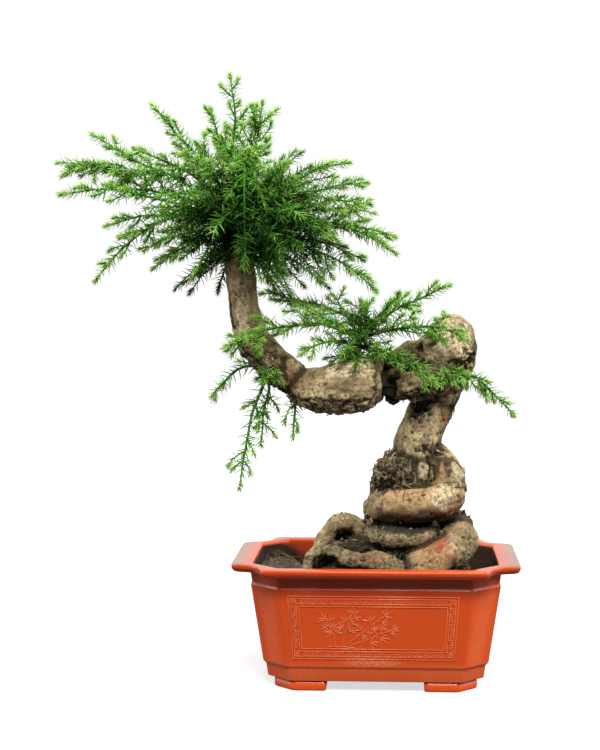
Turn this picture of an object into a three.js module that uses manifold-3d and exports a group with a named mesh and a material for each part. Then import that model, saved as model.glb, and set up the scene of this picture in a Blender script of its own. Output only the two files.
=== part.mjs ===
// A Norfolk island pine bonsai in its moulded plastic pot.
// The trunk stands on a pile of coiled roots, climbs through a knot and a tight loop, and carries
// needle sprays at its top, on the loop and under the bend.
// Units are millimetres, +Z is up and the pot's long side lies along X, with its front towards -Y.
// The origin is under the middle of the whole plant, on the surface that the pot's feet stand on.
import * as THREE from "three";
import { mergeVertices } from "three/addons/utils/BufferGeometryUtils.js";
import Module from "manifold-3d";

const wasm = await Module();
wasm.setup();

const at = (x, y, z) => new THREE.Vector3(x, y, z);

// Where the middle of the pot stands, seen from the middle of the plant
const potCentre = at(82, -10, 0);

// Pot
const pot = {
  rimLength: 252,
  rimWidth: 180,
  height: 109,
  rimThickness: 7,
  rimEdge: 1.4, // rounding of the rim's edges
  notch: [[0, 30], [18.5, 27], [24, 20], [27, 9], [29, 0]], // rim corner, in from its end and its front
  footHeight: 9,
};
// Outer half length, half width and cut corner of the wall at each change of its profile
const wallProfile = [
  { z: 9, length: 94.5, width: 68.5, cut: 20 },
  { z: 20, length: 96, width: 70, cut: 20.4 },
  { z: 22.5, length: 98.5, width: 71.5, cut: 21 },
  { z: 90.5, length: 109, width: 78.2, cut: 25.6 },
  { z: 92, length: 107.9, width: 77.1, cut: 25 },
  { z: 102, length: 109.4, width: 78.4, cut: 26 },
];
// The same for the inside, from the floor up to the mouth
const insideProfile = [
  { z: 12, length: 92.2, width: 66.2, cut: 18.6 },
  { z: 25, length: 96.2, width: 69.2, cut: 19.4 },
  { z: 91.5, length: 104.6, width: 74.2, cut: 23 },
  { z: 93, length: 105.6, width: 75.2, cut: 23.6 },
  { z: 107.6, length: 107, width: 76.2, cut: 24.5 },
  { z: 109, length: 107.8, width: 77, cut: 24.8 },
];
const foot = { length: 88.5, width: 67, cut: 16.5, along: 46, across: 30 };
const footRoot = 1; // how far a foot is sunk into the floor
const drain = { radius: 6, apart: 90 };
const panel = { halfLength: 73.5, low: 29, high: 84, border: 8.6, bar: 1.3, proud: 0.7, sunk: 1.2 };
const sidePanelHalf = 36;

// Soil
const soil = {
  top: 83, // height of its level parts
  fall: { x: 0.03, y: 0.045 }, // it lies lower to the right and to the back
  mound: { x: 24, y: -4, rise: 13, radius: 62 },
  bank: { x: -26, y: -12, rise: 22, halfLength: 30, halfWidth: 26 }, // against the small roots
  heap: { x: -92, y: -20, rise: 8, halfLength: 22, halfWidth: 34 },
  crumb: 0.9,
  columns: 15,
  rows: 10,
};

// Gap between a solid and what it rests on or grows from
const seat = 0.35;

// Trunk limbs as lists of [x, y, z, radius] in the pot's frame
const limbs = {
  arm: [
    [-125, 0, 386, 9], [-124, 0, 379, 12.6], [-121, 0, 356, 12.8], [-118, -1, 330, 13.4],
    [-113, -3, 307, 14.6], [-101, -5, 289, 15.6], [-86, -6, 275, 15.8], [-60, -9, 259, 13],
  ],
  leader: [[-124, 0, 376, 10.5], [-123, 0, 390, 8], [-121, 0, 408, 6], [-119, 0, 426, 5]],
  twig: [[-19, -8, 278, 7], [-16, -8, 294, 4.2], [-10, -8, 308, 3.2], [-5, -8, 320, 2.4]],
  barrel: [
    [-73, -7, 263, 12.5], [-61, -10, 259, 17.5], [-46, -14, 257, 20.6], [-29, -16, 259, 22.8],
    [-14, -14, 263, 24.5], [-2, -7, 266, 20.5], [7, 6, 270, 17],
  ],
  link: [
    [1, 3, 268, 14], [14, 13, 274, 15.5], [28, 13, 281, 16.5],
    [42, 8, 290, 18], [54, 4, 298, 19], [65, 4, 303, 17],
  ],
  hump: [
    [65, 2, 325, 17], [68, 3, 313, 19.5], [69, 5, 299, 20.5],
    [70, 8, 283, 18.5], [63, 11, 266, 17], [56, 11, 251, 18],
  ],
  burl: [[16, -7, 260, 9], [22, -12, 260, 13], [35, -15, 262, 15], [49, -11, 267, 16], [64, -2, 269, 14]],
  column: [
    [61, 11, 262, 14], [55, 11, 247, 18], [47, 9, 235, 19.6],
    [40, 5, 219, 20.2], [37, 2, 200, 22], [34, 1, 180, 22],
  ],
  knot: [[40, 2, 206, 14], [52, 2, 192, 18], [61, -2, 177, 19.5], [61, -12, 164, 17]],
  shoulder: [[28, 2, 206, 13], [19, 1, 190, 18], [13, 2, 173, 18.5], [12, 4, 152, 19]],
  scar: [[4, -5, 180, 13], [17, -11, 183, 17], [33, -13, 180, 18], [50, -10, 176, 15]],
  coil: [
    [68, -6, 166, 14], [60, -17, 161, 16], [36, -26, 157, 16.4], [12, -20, 154, 16], [0, -4, 150, 14],
  ],
  backCoil: [
    [-2, -6, 150, 13.5], [2, 14, 146, 15], [26, 27, 140, 16], [55, 25, 134, 17.5], [74, 10, 127, 18.5],
  ],
  bigRoot: [
    [70, 16, 128, 16], [77, 0, 122, 19], [67, -17, 115, 19.8], [46, -31, 106, 18.6], [26, -38, 92, 15],
  ],
  lowCoil: [
    [-5, -2, 128, 8], [-1, -16, 128, 10], [12, -28, 128, 10.4], [32, -32, 128, 9.6], [52, -24, 129, 8.6],
  ],
  core: [[28, -2, 84, 36], [28, -1, 104, 38], [27, 1, 128, 31], [30, 2, 156, 24], [31, 2, 184, 20]],
  arch: [
    [-51, -17, 92, 8], [-48, -15, 117, 7.6], [-42, -13, 130, 7.6], [-32, -11, 138.5, 7.8],
    [-20, -9, 136, 8.4], [-12, -8, 124, 9], [-6, -8, 106, 10],
  ],
  leftRoot: [
    [-66, -43, 84, 5], [-56, -38, 112, 5.4], [-48, -34, 117, 6.2], [-34, -34, 113, 7.2],
    [-18, -39, 108, 8.4], [4, -44, 108, 9.2], [24, -44, 101, 9],
  ],
  leftRidge: [
    [-57, -14, 86, 7], [-42, -16, 106, 8], [-26, -16, 114, 10], [-8, -14, 117, 13], [6, -12, 116, 14],
  ],
  backRoot: [[20, 24, 118, 12], [4, 38, 106, 10], [-14, 48, 92, 8], [-26, 54, 82, 5.5]],
  farRoot: [[58, 26, 116, 12], [72, 40, 100, 9], [82, 50, 85, 6]],
};
const ringStep = 12.5; // between the rings of a limb
const usualSides = 10;
const slimSides = {
  lowCoil: 8, arch: 7, leftRoot: 7, leftRidge: 7, backRoot: 7, farRoot: 7, leader: 6, twig: 6,
};
// Knobs round a limb: waves round it, height as a share of its radius, and turns along it in radians
const knobs = [[3, 0.055, 5], [2, 0.045, -9], [5, 0.035, 23]];
const endShare = 0.55; // how far a limb's rounded ends draw in
const plug = { x: 28, y: -3, radius: 26, taper: 0.9, low: 52, high: 96, sides: 12 };
// Limbs that touch the soil
const groundLimbs = ["bigRoot", "core", "arch", "leftRoot", "leftRidge", "backRoot", "farRoot"];

// Groups of sprays. Tips are measured from a group's foot, and the stems leave the wood somewhere
// between low and high.
const groups = {
  crown: { foot: at(-124, 0, 375), low: at(-124, 0, 384), high: at(-119.5, 0, 421) },
  loop: { foot: at(-10, -9, 279), low: at(-16, -8, 294), high: at(-6, -8, 317) },
  elbow: { foot: at(62, -8, 273), low: at(62, -8, 272), high: at(66, -4, 276) },
  bend: { foot: at(-95, -6, 272), low: at(-93, -7, 272), high: at(-99, -6, 278) },
  belly: { foot: at(-69, -8, 256), low: at(-69, -8, 256), high: at(-69, -8, 256) },
};
// Sprays: group, where the stem starts from low (0) to high (1), turn in degrees (0 right, 90 back,
// 180 left, 270 front), the tip's reach sideways and its rise, and how far the middle of the stem
// lies above a straight line
const sprays = [
  ["crown", 0.96, 125, 12, 165, 0], ["crown", 1, 214, 27, 133, 4], ["crown", 1, 338, 26, 139, 4],
  ["crown", 0.9, 166, 82, 140, 4], ["crown", 0.84, 198, 93, 97, 6], ["crown", 0.74, 167, 142, 115, 2],
  ["crown", 0.66, 181, 162, 87, 8], ["crown", 0.58, 197, 158, 56, 12], ["crown", 0.5, 173, 124, 30, 12],
  ["crown", 0.34, 186, 128, -20, 34], ["crown", 0.08, 172, 80, -9, 12], ["crown", 0.04, 228, 52, -15, 17],
  ["crown", 0.9, 281, 72, -2, 66], ["crown", 0.88, 25, 110, 88, 8], ["crown", 0.72, 8, 118, 68, 6],
  ["crown", 0.6, 350, 122, 47, 8], ["crown", 0.5, 24, 134, 42, 10], ["crown", 0.38, 5, 142, 19, 12],
  ["crown", 0.28, 346, 147, 3, 22], ["crown", 0.22, 17, 118, -2, 10], ["crown", 0.05, 352, 126, -30, 20],
  ["crown", 0.06, 46, 52, -14, 14], ["crown", 0.52, 236, 104, 52, 12], ["crown", 0.3, 264, 98, 20, 16],
  ["crown", 0.44, 303, 116, 34, 14], ["crown", 0.2, 322, 118, 14, 20], ["crown", 0.78, 244, 84, 90, 8],
  ["crown", 0.72, 312, 76, 82, 8], ["crown", 0.6, 62, 116, 50, 10], ["crown", 0.34, 80, 120, 20, 14],
  ["crown", 0.76, 98, 112, 76, 8], ["crown", 0.44, 118, 124, 26, 14], ["crown", 0.2, 148, 112, 8, 12],
  ["loop", 0.85, 156, 106, 64, 8], ["loop", 0.42, 196, 120, 22, 14], ["loop", 0.1, 216, 68, 12, 8],
  ["loop", 1, 335, 34, 62, 2], ["loop", 0.78, 21, 82, 72, 4], ["loop", 0.5, 338, 97, 25, 10],
  ["loop", 0.05, 326, 74, -13, 6], ["loop", 0.62, 90, 46, 56, 4],
  ["elbow", 0.5, 354, 60, -38, 10], ["elbow", 0, 296, 34, -8, 6],
  ["bend", 0, 208, 30, -102, 20], ["bend", 1, 173, 54, -21, 10], ["bend", 0, 120, 20, -66, 6],
  ["belly", 0, 230, 8, -41, 0],
];
const startOut = 3.5; // how far from the middle of the wood a stem starts, towards its own side
const stemRadius = { base: 1.7, tip: 0.95 };
const bareShare = 0.3; // of a stem's length, next to the wood, that carries no needles
// Whorls of six needles: their spacing on stems and side shoots, the length of stem that carries one,
// and the length of the shoot's own tip
const whorl = { step: 23, sideStep: 20, band: 2.3, tipBand: 3.2, first: 3 };
// Needles: length near the wood and at the tip, how far they lean forward there and on the shoot's
// tip, half their thickness, and the room that each keeps from other sprays
const needle = { length: 10.5, young: 6.5, lean: 0.62, tipLean: 1.6, radius: 0.5, clear: 1.15 };
// Side shoots: where they leave the stem, to which side, and the shortest stem that has one
const sideShoots = [{ share: 0.48, side: 1, least: 60 }, { share: 0.68, side: -1, least: 125 }];
const sideRadius = { base: 1.25, tip: 0.85 };
// Their length is a fixed part and a share of the stem beyond them; they bend from out to along
const sideLength = { fixed: 15, share: 0.3 };
const sideBend = { control: { along: 0.25, out: 0.45 }, tip: { along: 0.7, out: 0.68 } };
const sideClear = 2.4; // room that a side shoot keeps from other sprays
const woodShare = 0.2; // of a stem's length that may run inside the wood

// Colours and finishes
const redPlastic = new THREE.MeshStandardMaterial({ color: 0xb84a22, roughness: 0.45, metalness: 0 });
const bark = new THREE.MeshStandardMaterial({ color: 0x9a805c, roughness: 0.95, metalness: 0 });
const darkSoil = new THREE.MeshStandardMaterial({ color: 0x4a4030, roughness: 1, metalness: 0 });
const foliage = new THREE.MeshStandardMaterial({ color: 0x2f7d1c, roughness: 0.6, metalness: 0 });

// Solids and geometry

function solidOf(geometry) {
  const bare = new THREE.BufferGeometry();
  bare.setAttribute("position", geometry.getAttribute("position").clone());
  bare.setIndex(geometry.index);
  const merged = mergeVertices(bare, 1e-4);
  return new wasm.Manifold(
    new wasm.Mesh({
      numProp: 3,
      vertProperties: new Float32Array(merged.attributes.position.array),
      triVerts: new Uint32Array(merged.index.array),
    }),
  );
}

function geometryOf(solid) {
  const mesh = solid.getMesh();
  const geometry = new THREE.BufferGeometry();
  geometry.setAttribute("position", new THREE.BufferAttribute(mesh.vertProperties, 3));
  geometry.setIndex(new THREE.BufferAttribute(mesh.triVerts, 1));
  geometry.computeVertexNormals();
  return geometry;
}

// The largest body of a solid: loose scraps are dropped
function largest(solid) {
  return solid.decompose().sort((a, b) => b.volume() - a.volume())[0];
}

const join = (solids) => solids.reduce((all, one) => all.add(one));

// A closed skin through rings of points, each ring anticlockwise seen against the way they run,
// with a flat fan over the first and the last ring
function loft(rings) {
  const count = rings[0].length;
  const points = rings.flat();
  const faces = [];
  for (let r = 0; r + 1 < rings.length; r++)
    for (let i = 0; i < count; i++) {
      const a = r * count + i;
      const b = r * count + ((i + 1) % count);
      faces.push(a, b, b + count, a, b + count, a + count);
    }
  const cap = (ring, first, flip) => {
    const middle = ring.reduce((sum, p) => sum.add(p), new THREE.Vector3()).divideScalar(count);
    const m = points.push(middle) - 1;
    for (let i = 0; i < count; i++) {
      const a = first + i;
      const b = first + ((i + 1) % count);
      faces.push(...(flip ? [b, a, m] : [a, b, m]));
    }
  };
  cap(rings[0], 0, true);
  cap(rings[rings.length - 1], (rings.length - 1) * count, false);
  const geometry = new THREE.BufferGeometry().setFromPoints(points);
  geometry.setIndex(faces);
  return geometry;
}

// Pot

// One ring of the pot's outline, anticlockwise from above; each corner runs through five points,
// given as distances in from the end and from the front
function potRing(halfLength, halfWidth, corner, z) {
  const ring = [];
  const quarters = [[1, -1], [1, 1], [-1, 1], [-1, -1]];
  quarters.forEach(([sx, sy], quarter) => {
    const points = corner.map(([inX, inY]) => at(sx * (halfLength - inX), sy * (halfWidth - inY), z));
    ring.push(...(quarter % 2 === 0 ? points.reverse() : points));
  });
  return ring;
}

const cutCorner = (size) => [0, 0.25, 0.5, 0.75, 1].map((t) => [t * size, (1 - t) * size]);

// The wall's outline at one level of a profile, drawn in by an inset measured square to the wall
function wallRing({ z, length, width, cut }, inset = 0) {
  const corner = cutCorner(cut - (2 - Math.SQRT2) * inset);
  return potRing(length - inset, width - inset, corner, z);
}

function rimRing(inset, z) {
  return potRing(pot.rimLength / 2 - inset, pot.rimWidth / 2 - inset, pot.notch, z);
}

function potShell() {
  const under = pot.height - pot.rimThickness;
  const rings = wallProfile.map((level) => wallRing(level));
  rings.push(rimRing(pot.rimEdge, under));
  rings.push(rimRing(0, under + pot.rimEdge));
  rings.push(rimRing(0, pot.height - pot.rimEdge));
  rings.push(rimRing(pot.rimEdge, pot.height));
  for (const level of insideProfile.toReversed()) rings.push(wallRing(level));
  return solidOf(loft(rings));
}

// One foot under the corner at signs sx, sy, sunk a little into the floor
function potFoot(sx, sy) {
  const outline = [
    [foot.length - foot.along, foot.width - foot.across],
    [foot.length - foot.along, foot.width],
    [foot.length - foot.cut, foot.width],
    [foot.length, foot.width - foot.cut],
    [foot.length, foot.width - foot.across],
  ].map(([x, y]) => new THREE.Vector2(sx * x, sy * y));
  const block = new THREE.ExtrudeGeometry(new THREE.Shape(outline), {
    depth: pot.footHeight + footRoot,
    bevelEnabled: false,
  });
  return solidOf(block);
}

// A raised rectangular line around a panel, on the wall that faces the turn given in radians
function panelFrame(halfLength, low, high, turn, reach) {
  const outline = new THREE.Shape();
  const tall = high - low;
  outline.moveTo(-halfLength, 0).lineTo(halfLength, 0).lineTo(halfLength, tall).lineTo(-halfLength, tall);
  const hole = new THREE.Path();
  const x = halfLength - panel.bar;
  const y = tall - panel.bar;
  hole.moveTo(-x, panel.bar).lineTo(-x, y).lineTo(x, y).lineTo(x, panel.bar);
  outline.holes.push(hole);
  const line = new THREE.ExtrudeGeometry(outline, { depth: panel.sunk + panel.proud, bevelEnabled: false });
  const first = wallProfile[2];
  const last = wallProfile[3];
  const lean = Math.atan((last.width - first.width) / (last.z - first.z));
  line.translate(0, 0, -panel.sunk);
  line.rotateX(Math.PI / 2 + lean); // stands on the leaning wall, face outwards
  const out = reach + (low - first.z) * Math.tan(lean);
  line.translate(0, -out, low);
  line.rotateZ(turn);
  return solidOf(line);
}

function potSolid() {
  const feet = [[1, 1], [-1, 1], [-1, -1], [1, -1]].map(([sx, sy]) => potFoot(sx, sy));
  const frames = [];
  const { length, width } = wallProfile[2];
  for (const turn of [0, Math.PI]) {
    for (const inset of [0, panel.border])
      frames.push(panelFrame(panel.halfLength - inset, panel.low + inset, panel.high - inset, turn, width));
  }
  for (const turn of [Math.PI / 2, -Math.PI / 2])
    frames.push(panelFrame(sidePanelHalf, panel.low, panel.high, turn, length));
  const holes = [-1, 1].map((side) => {
    const hole = new THREE.CylinderGeometry(drain.radius, drain.radius, 2 * pot.footHeight, 14);
    hole.rotateX(Math.PI / 2).translate((side * drain.apart) / 2, 0, pot.footHeight);
    return solidOf(hole);
  });
  return holes.reduce((body, hole) => body.subtract(hole), join([potShell(), ...feet, ...frames]));
}

// Trunk

// A knobbly limb along [x, y, z, radius] points; grow widens it all round for a clearance cutter
function limb(name, grow = 0) {
  const rows = limbs[name];
  const centres = rows.map(([x, y, z]) => at(x, y, z));
  const curve = new THREE.CatmullRomCurve3(centres, false, "centripetal");
  const steps = Math.max(4, Math.round(curve.getLength() / ringStep));
  const frames = curve.computeFrenetFrames(steps, false);
  const sides = slimSides[name] ?? usualSides;
  const phase = name.length * 1.7 + name.charCodeAt(0) * 0.37; // each limb has knobs of its own
  // Each row's share of the limb's length, so that the radii land on their points
  const shares = centres.map((centre) => nearestShare(curve, centre));
  const rings = [];
  for (let i = 0; i <= steps; i++) {
    const share = i / steps;
    const end = i === 0 ? -1 : i === steps ? 1 : 0;
    const radius = radiusAt(rows, shares, share) * (end === 0 ? 1 : endShare);
    const centre = curve.getPointAt(share).addScaledVector(frames.tangents[i], grow * end);
    const ring = [];
    for (let k = 0; k < sides; k++) {
      const angle = (k / sides) * 2 * Math.PI;
      const knob = ([waves, height, twist]) => height * Math.sin(waves * angle + twist * share + phase);
      const out = radius * knobs.reduce((sum, row) => sum + knob(row), 1) + grow;
      const point = centre.clone().addScaledVector(frames.normals[i], out * Math.cos(angle));
      ring.push(point.addScaledVector(frames.binormals[i], out * Math.sin(angle)));
    }
    rings.push(ring);
  }
  return solidOf(loft(rings));
}

function nearestShare(curve, point) {
  const looks = 400;
  let best = 0;
  let least = Infinity;
  for (let i = 0; i <= looks; i++) {
    const gap = curve.getPointAt(i / looks).distanceTo(point);
    if (gap < least) [best, least] = [i / looks, gap];
  }
  return best;
}

function radiusAt(rows, shares, share) {
  const next = Math.max(1, shares.findIndex((s) => s >= share));
  const from = shares[next - 1];
  const t = (share - from) / Math.max(1e-6, shares[next] - from);
  const smooth = t * t * (3 - 2 * t);
  return rows[next - 1][3] + (rows[next][3] - rows[next - 1][3]) * smooth;
}

// The stump under the root pile, which stands in the soil's plain hole
function stump(grow = 0) {
  const { radius, taper, low, high, sides } = plug;
  const block = new THREE.CylinderGeometry(radius + grow, radius * taper + grow, high - low + grow, sides);
  block.rotateX(Math.PI / 2).translate(plug.x, plug.y, (high + low - grow) / 2);
  return solidOf(block);
}

function trunkSolid(grow = 0, names = Object.keys(limbs)) {
  return join([stump(grow), ...names.map((name) => limb(name, grow))]);
}

// Soil

// Height of the soil's top: a mound round the roots, a heap at the left and a crumbly ripple
function soilTop(x, y) {
  const { mound, bank, heap, fall, crumb } = soil;
  const hill = ({ x: u, y: v, rise, halfLength, halfWidth }) =>
    rise * Math.exp(-(((x - u) / halfLength) ** 2) - ((y - v) / halfWidth) ** 2);
  const away = Math.hypot((x - mound.x) * 0.8, y - mound.y) / mound.radius;
  const rise = mound.rise * Math.exp(-1.6 * away * away);
  const ripple = Math.sin(x * 0.19 + 1.3) * Math.cos(y * 0.23) + 0.7 * Math.sin(x * 0.41 - y * 0.37);
  return soil.top + rise + hill(bank) + hill(heap) - fall.x * x - fall.y * y + crumb * ripple;
}

function soilSolid(roots) {
  const [floor, knee, ledge] = insideProfile;
  const levels = [{ ...floor, z: floor.z + seat }, knee, { ...ledge, z: ledge.z - seat }];
  const ceiling = 130; // above the soil's highest point
  const rings = [...levels, { ...ledge, z: ceiling }].map((level) => wallRing(level, seat));
  const body = solidOf(loft(rings));
  const halfLength = ledge.length;
  const halfWidth = ledge.width;
  // Everything above the soil's top, as a block with a rolling underside
  const cover = new THREE.PlaneGeometry(2 * halfLength, 2 * halfWidth, soil.columns, soil.rows);
  const place = cover.attributes.position;
  for (let i = 0; i < place.count; i++) place.setZ(i, soilTop(place.getX(i), place.getY(i)));
  const points = [];
  const across = soil.columns + 1;
  const lastRow = soil.rows * across;
  for (let i = 0; i < place.count; i++) points.push(at().fromBufferAttribute(place, i));
  const faces = [];
  const quad = (a, b, c, d) => faces.push(a, b, c, a, c, d);
  for (let row = 0; row < soil.rows; row++)
    for (let column = 0; column < soil.columns; column++) {
      const a = row * across + column;
      quad(a, a + 1, a + 1 + across, a + across);
    }
  // The block's sides and its flat top
  const edge = [];
  for (let i = 0; i < soil.columns; i++) edge.push(i);
  for (let i = 0; i < soil.rows; i++) edge.push(soil.columns + i * across);
  for (let i = 0; i < soil.columns; i++) edge.push(lastRow + soil.columns - i);
  for (let i = 0; i < soil.rows; i++) edge.push(lastRow - i * across);
  const top = points.length;
  for (const i of edge) points.push(points[i].clone().setZ(ceiling));
  const middle = points.push(at(0, 0, ceiling)) - 1;
  edge.forEach((low, i) => {
    const j = (i + 1) % edge.length;
    quad(edge[j], low, top + i, top + j);
    faces.push(top + i, middle, top + j);
  });
  const block = new THREE.BufferGeometry().setFromPoints(points);
  block.setIndex(faces);
  return largest(body.subtract(solidOf(block)).subtract(roots));
}

// Sprays

// Thin round-ended lines already taken by stems and needles, for keeping nodes apart
const taken = [];

// The shortest way between two straight lines, each given by its two ends
function segmentGap(p1, q1, p2, q2) {
  const d1 = q1.clone().sub(p1);
  const d2 = q2.clone().sub(p2);
  const r = p1.clone().sub(p2);
  const a = d1.dot(d1);
  const e = d2.dot(d2);
  const f = d2.dot(r);
  const c = d1.dot(r);
  const b = d1.dot(d2);
  const under = a * e - b * b;
  let s = under > 1e-9 ? THREE.MathUtils.clamp((b * f - c * e) / under, 0, 1) : 0;
  let t = (b * s + f) / e;
  if (t < 0 || t > 1) {
    t = THREE.MathUtils.clamp(t, 0, 1);
    s = THREE.MathUtils.clamp((b * t - c) / a, 0, 1);
  }
  return d1.multiplyScalar(s).add(p1).distanceTo(d2.multiplyScalar(t).add(p2));
}

function isFree(from, to, owner, margin) {
  const box = new THREE.Box3().setFromPoints([from, to]).expandByScalar(margin + stemRadius.base);
  return taken.every(
    (line) =>
      line.owner === owner ||
      !box.intersectsBox(line.box) ||
      segmentGap(from, to, line.from, line.to) > margin + line.radius,
  );
}

function take(from, to, owner, radius) {
  taken.push({ from, to, owner, radius, box: new THREE.Box3().setFromPoints([from, to]) });
}

// The stem's middle line, from inside the wood to the tip
function sprayPath([group, share, turn, reach, rise, lift]) {
  const { foot, low, high } = groups[group];
  const angle = THREE.MathUtils.degToRad(turn);
  const way = at(Math.cos(angle), Math.sin(angle), 0);
  const start = low.clone().lerp(high, share).addScaledVector(way, startOut);
  const tip = foot.clone().addScaledVector(way, reach).setZ(foot.z + rise);
  const control = start.clone().lerp(tip, 0.5).add(at(0, 0, 2 * lift));
  return new THREE.QuadraticBezierCurve3(start, control, tip);
}

// A side shoot that leaves the stem at a share of its length, in the flat of the spray
function sidePath(stem, { share, side }) {
  const root = stem.getPointAt(share);
  const along = stem.getTangentAt(share);
  const out = along.clone().cross(at(0, 0, 1)).normalize().multiplyScalar(side);
  const length = sideLength.fixed + sideLength.share * stem.getLength() * (1 - share);
  const bent = (bend) =>
    root.clone().addScaledVector(along, bend.along * length).addScaledVector(out, bend.out * length);
  return new THREE.QuadraticBezierCurve3(root, bent(sideBend.control), bent(sideBend.tip));
}

// A shoot: a slim three-sided stem whose short bands rise into whorls of six needles.
// Each ring is turned by 60 degrees from the last, so that the band's faces look six ways.
function shoot(path, radii, bare, step, owner) {
  const length = path.getLength();
  const first = Math.max(bare * length, whorl.first);
  const room = length - first - whorl.tipBand;
  const whorls = Math.max(1, Math.floor(room / step) + 1);
  const stations = [0];
  for (let i = 0; i < whorls; i++) {
    const start = first + (room * i) / whorls;
    stations.push(start, start + whorl.band);
  }
  stations.push(length - whorl.tipBand);

  // Three points round the stem at each station
  const points = [];
  const tangents = stations.map((station) => path.getTangentAt(station / length));
  const side = at(0, 0, 1).cross(tangents[0]);
  stations.forEach((station, ring) => {
    const along = tangents[ring];
    side.addScaledVector(along, -side.dot(along)).normalize();
    const other = along.clone().cross(side);
    const radius = THREE.MathUtils.lerp(radii.base, radii.tip, station / length);
    for (let k = 0; k < 3; k++) {
      const angle = ((2 * k + ring) * Math.PI) / 3;
      const point = path.getPointAt(station / length).addScaledVector(side, radius * Math.cos(angle));
      points.push(point.addScaledVector(other, radius * Math.sin(angle)));
    }
  });

  // A needle drawn out of the face a, b, c, or the bare face where a needle would touch another spray
  const faces = [];
  const raise = (a, b, c, ring, lean, reach) => {
    const middle = points[a].clone().add(points[b]).add(points[c]).divideScalar(3);
    const along = tangents[ring];
    const out = points[b].clone().sub(points[a]).cross(points[c].clone().sub(points[a]));
    out.addScaledVector(along, -out.dot(along)).normalize().addScaledVector(along, lean).normalize();
    const apex = middle.clone().addScaledVector(out, reach);
    if (!isFree(middle, apex, owner, needle.clear)) return faces.push(a, b, c);
    take(middle, apex, owner, needle.radius);
    const tip = points.push(apex) - 1;
    faces.push(a, b, tip, b, c, tip, c, a, tip);
  };
  for (let ring = 0; ring + 1 < stations.length; ring++) {
    const bearing = ring % 2 === 1;
    const reach = THREE.MathUtils.lerp(needle.length, needle.young, (stations[ring] / length) ** 3);
    for (let k = 0; k < 3; k++) {
      // A face's far corner lies between its two near ones
      const near = 3 * ring + k;
      const nearNext = 3 * ring + ((k + 1) % 3);
      const far = 3 * (ring + 1) + k;
      const farBefore = 3 * (ring + 1) + ((k + 2) % 3);
      if (bearing) {
        raise(near, nearNext, far, ring, needle.lean, reach);
        raise(near, far, farBefore, ring, needle.lean, reach);
      } else faces.push(near, nearNext, far, near, far, farBefore);
    }
  }
  const last = stations.length - 1;
  const end = points.push(path.getPointAt(1)) - 1;
  for (let k = 0; k < 3; k++)
    raise(3 * last + k, 3 * last + ((k + 1) % 3), end, last, needle.tipLean, needle.young);
  faces.push(2, 1, 0);
  const geometry = new THREE.BufferGeometry().setFromPoints(points);
  geometry.setIndex(faces);
  return solidOf(geometry);
}

// Marks a stem as taken, as a chain of short straight lines from a share of its length to its tip
function takeStem(path, radius, owner, from) {
  const pieces = Math.max(3, Math.round(path.getLength() / 8));
  for (let i = 0; i < pieces; i++) {
    const low = THREE.MathUtils.lerp(from, 1, i / pieces);
    const high = THREE.MathUtils.lerp(from, 1, (i + 1) / pieces);
    take(path.getPointAt(low), path.getPointAt(high), owner, radius);
  }
}

// All the sprays: their stems are placed first, then the needles grow where they are free
function spraySolids(wood) {
  const grown = sprays.map((row, index) => {
    const owner = `${row[0]}_spray_${String(index + 1).padStart(2, "0")}`;
    return { owner, stem: sprayPath(row), sides: [] };
  });
  for (const { owner, stem } of grown) takeStem(stem, stemRadius.base, owner, woodShare);
  // A side shoot that would touch another spray is left off
  for (const { owner, stem, sides } of grown)
    for (const row of sideShoots.filter(({ least }) => stem.getLength() > least)) {
      const path = sidePath(stem, row);
      const points = path.getSpacedPoints(4);
      if (!points.slice(1).every((point, i) => isFree(points[i], point, owner, sideClear))) continue;
      sides.push(path);
      takeStem(path, sideRadius.base, owner, 0);
    }
  return grown.map(({ owner, stem, sides }) => {
    const shoots = [shoot(stem, stemRadius, bareShare, whorl.step, owner)];
    for (const path of sides) shoots.push(shoot(path, sideRadius, 0, whorl.sideStep, owner));
    return [owner, largest(join(shoots).subtract(wood))];
  });
}

// The whole plant

const potted = new THREE.Group();
potted.position.copy(potCentre);

function addNode(name, solid, material) {
  const mesh = new THREE.Mesh(geometryOf(solid), material);
  mesh.name = name;
  potted.add(mesh);
}

addNode("pot", potSolid(), redPlastic);
addNode("trunk", trunkSolid(), bark);
addNode("soil", soilSolid(trunkSolid(seat, groundLimbs)), darkSoil);
for (const [name, solid] of spraySolids(trunkSolid(seat))) addNode(name, solid, foliage);

const plant = new THREE.Group();
plant.add(potted);
export default plant;
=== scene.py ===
# A Norfolk island pine bonsai in its moulded plastic pot.
# The trunk, roots, soil, pot and needle sprays are worked out in millimetres in the pot's frame:
# x to the right, y to the back, z up, from the middle of its feet.
import math

import bpy
import numpy as np
from mathutils import Matrix


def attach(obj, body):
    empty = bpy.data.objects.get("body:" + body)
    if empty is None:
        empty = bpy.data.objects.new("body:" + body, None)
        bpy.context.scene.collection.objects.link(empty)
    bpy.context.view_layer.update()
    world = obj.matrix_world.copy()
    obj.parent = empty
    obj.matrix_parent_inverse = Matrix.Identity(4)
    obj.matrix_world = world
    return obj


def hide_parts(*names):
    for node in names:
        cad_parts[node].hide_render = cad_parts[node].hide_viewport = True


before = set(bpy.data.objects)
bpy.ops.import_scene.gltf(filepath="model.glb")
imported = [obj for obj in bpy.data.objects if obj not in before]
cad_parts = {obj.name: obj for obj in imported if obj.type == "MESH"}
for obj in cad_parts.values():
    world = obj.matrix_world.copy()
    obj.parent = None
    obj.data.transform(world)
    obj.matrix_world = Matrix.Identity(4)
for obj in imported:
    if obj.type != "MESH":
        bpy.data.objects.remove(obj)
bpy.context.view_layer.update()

mm = 0.001
potCentre = np.array([82.0, -10.0, 0.0])  # the pot's middle, seen from the middle of the plant


# Numbers on arrays

def unit(vectors):
    return vectors / np.maximum(np.linalg.norm(vectors, axis=-1, keepdims=True), 1e-9)


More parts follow.
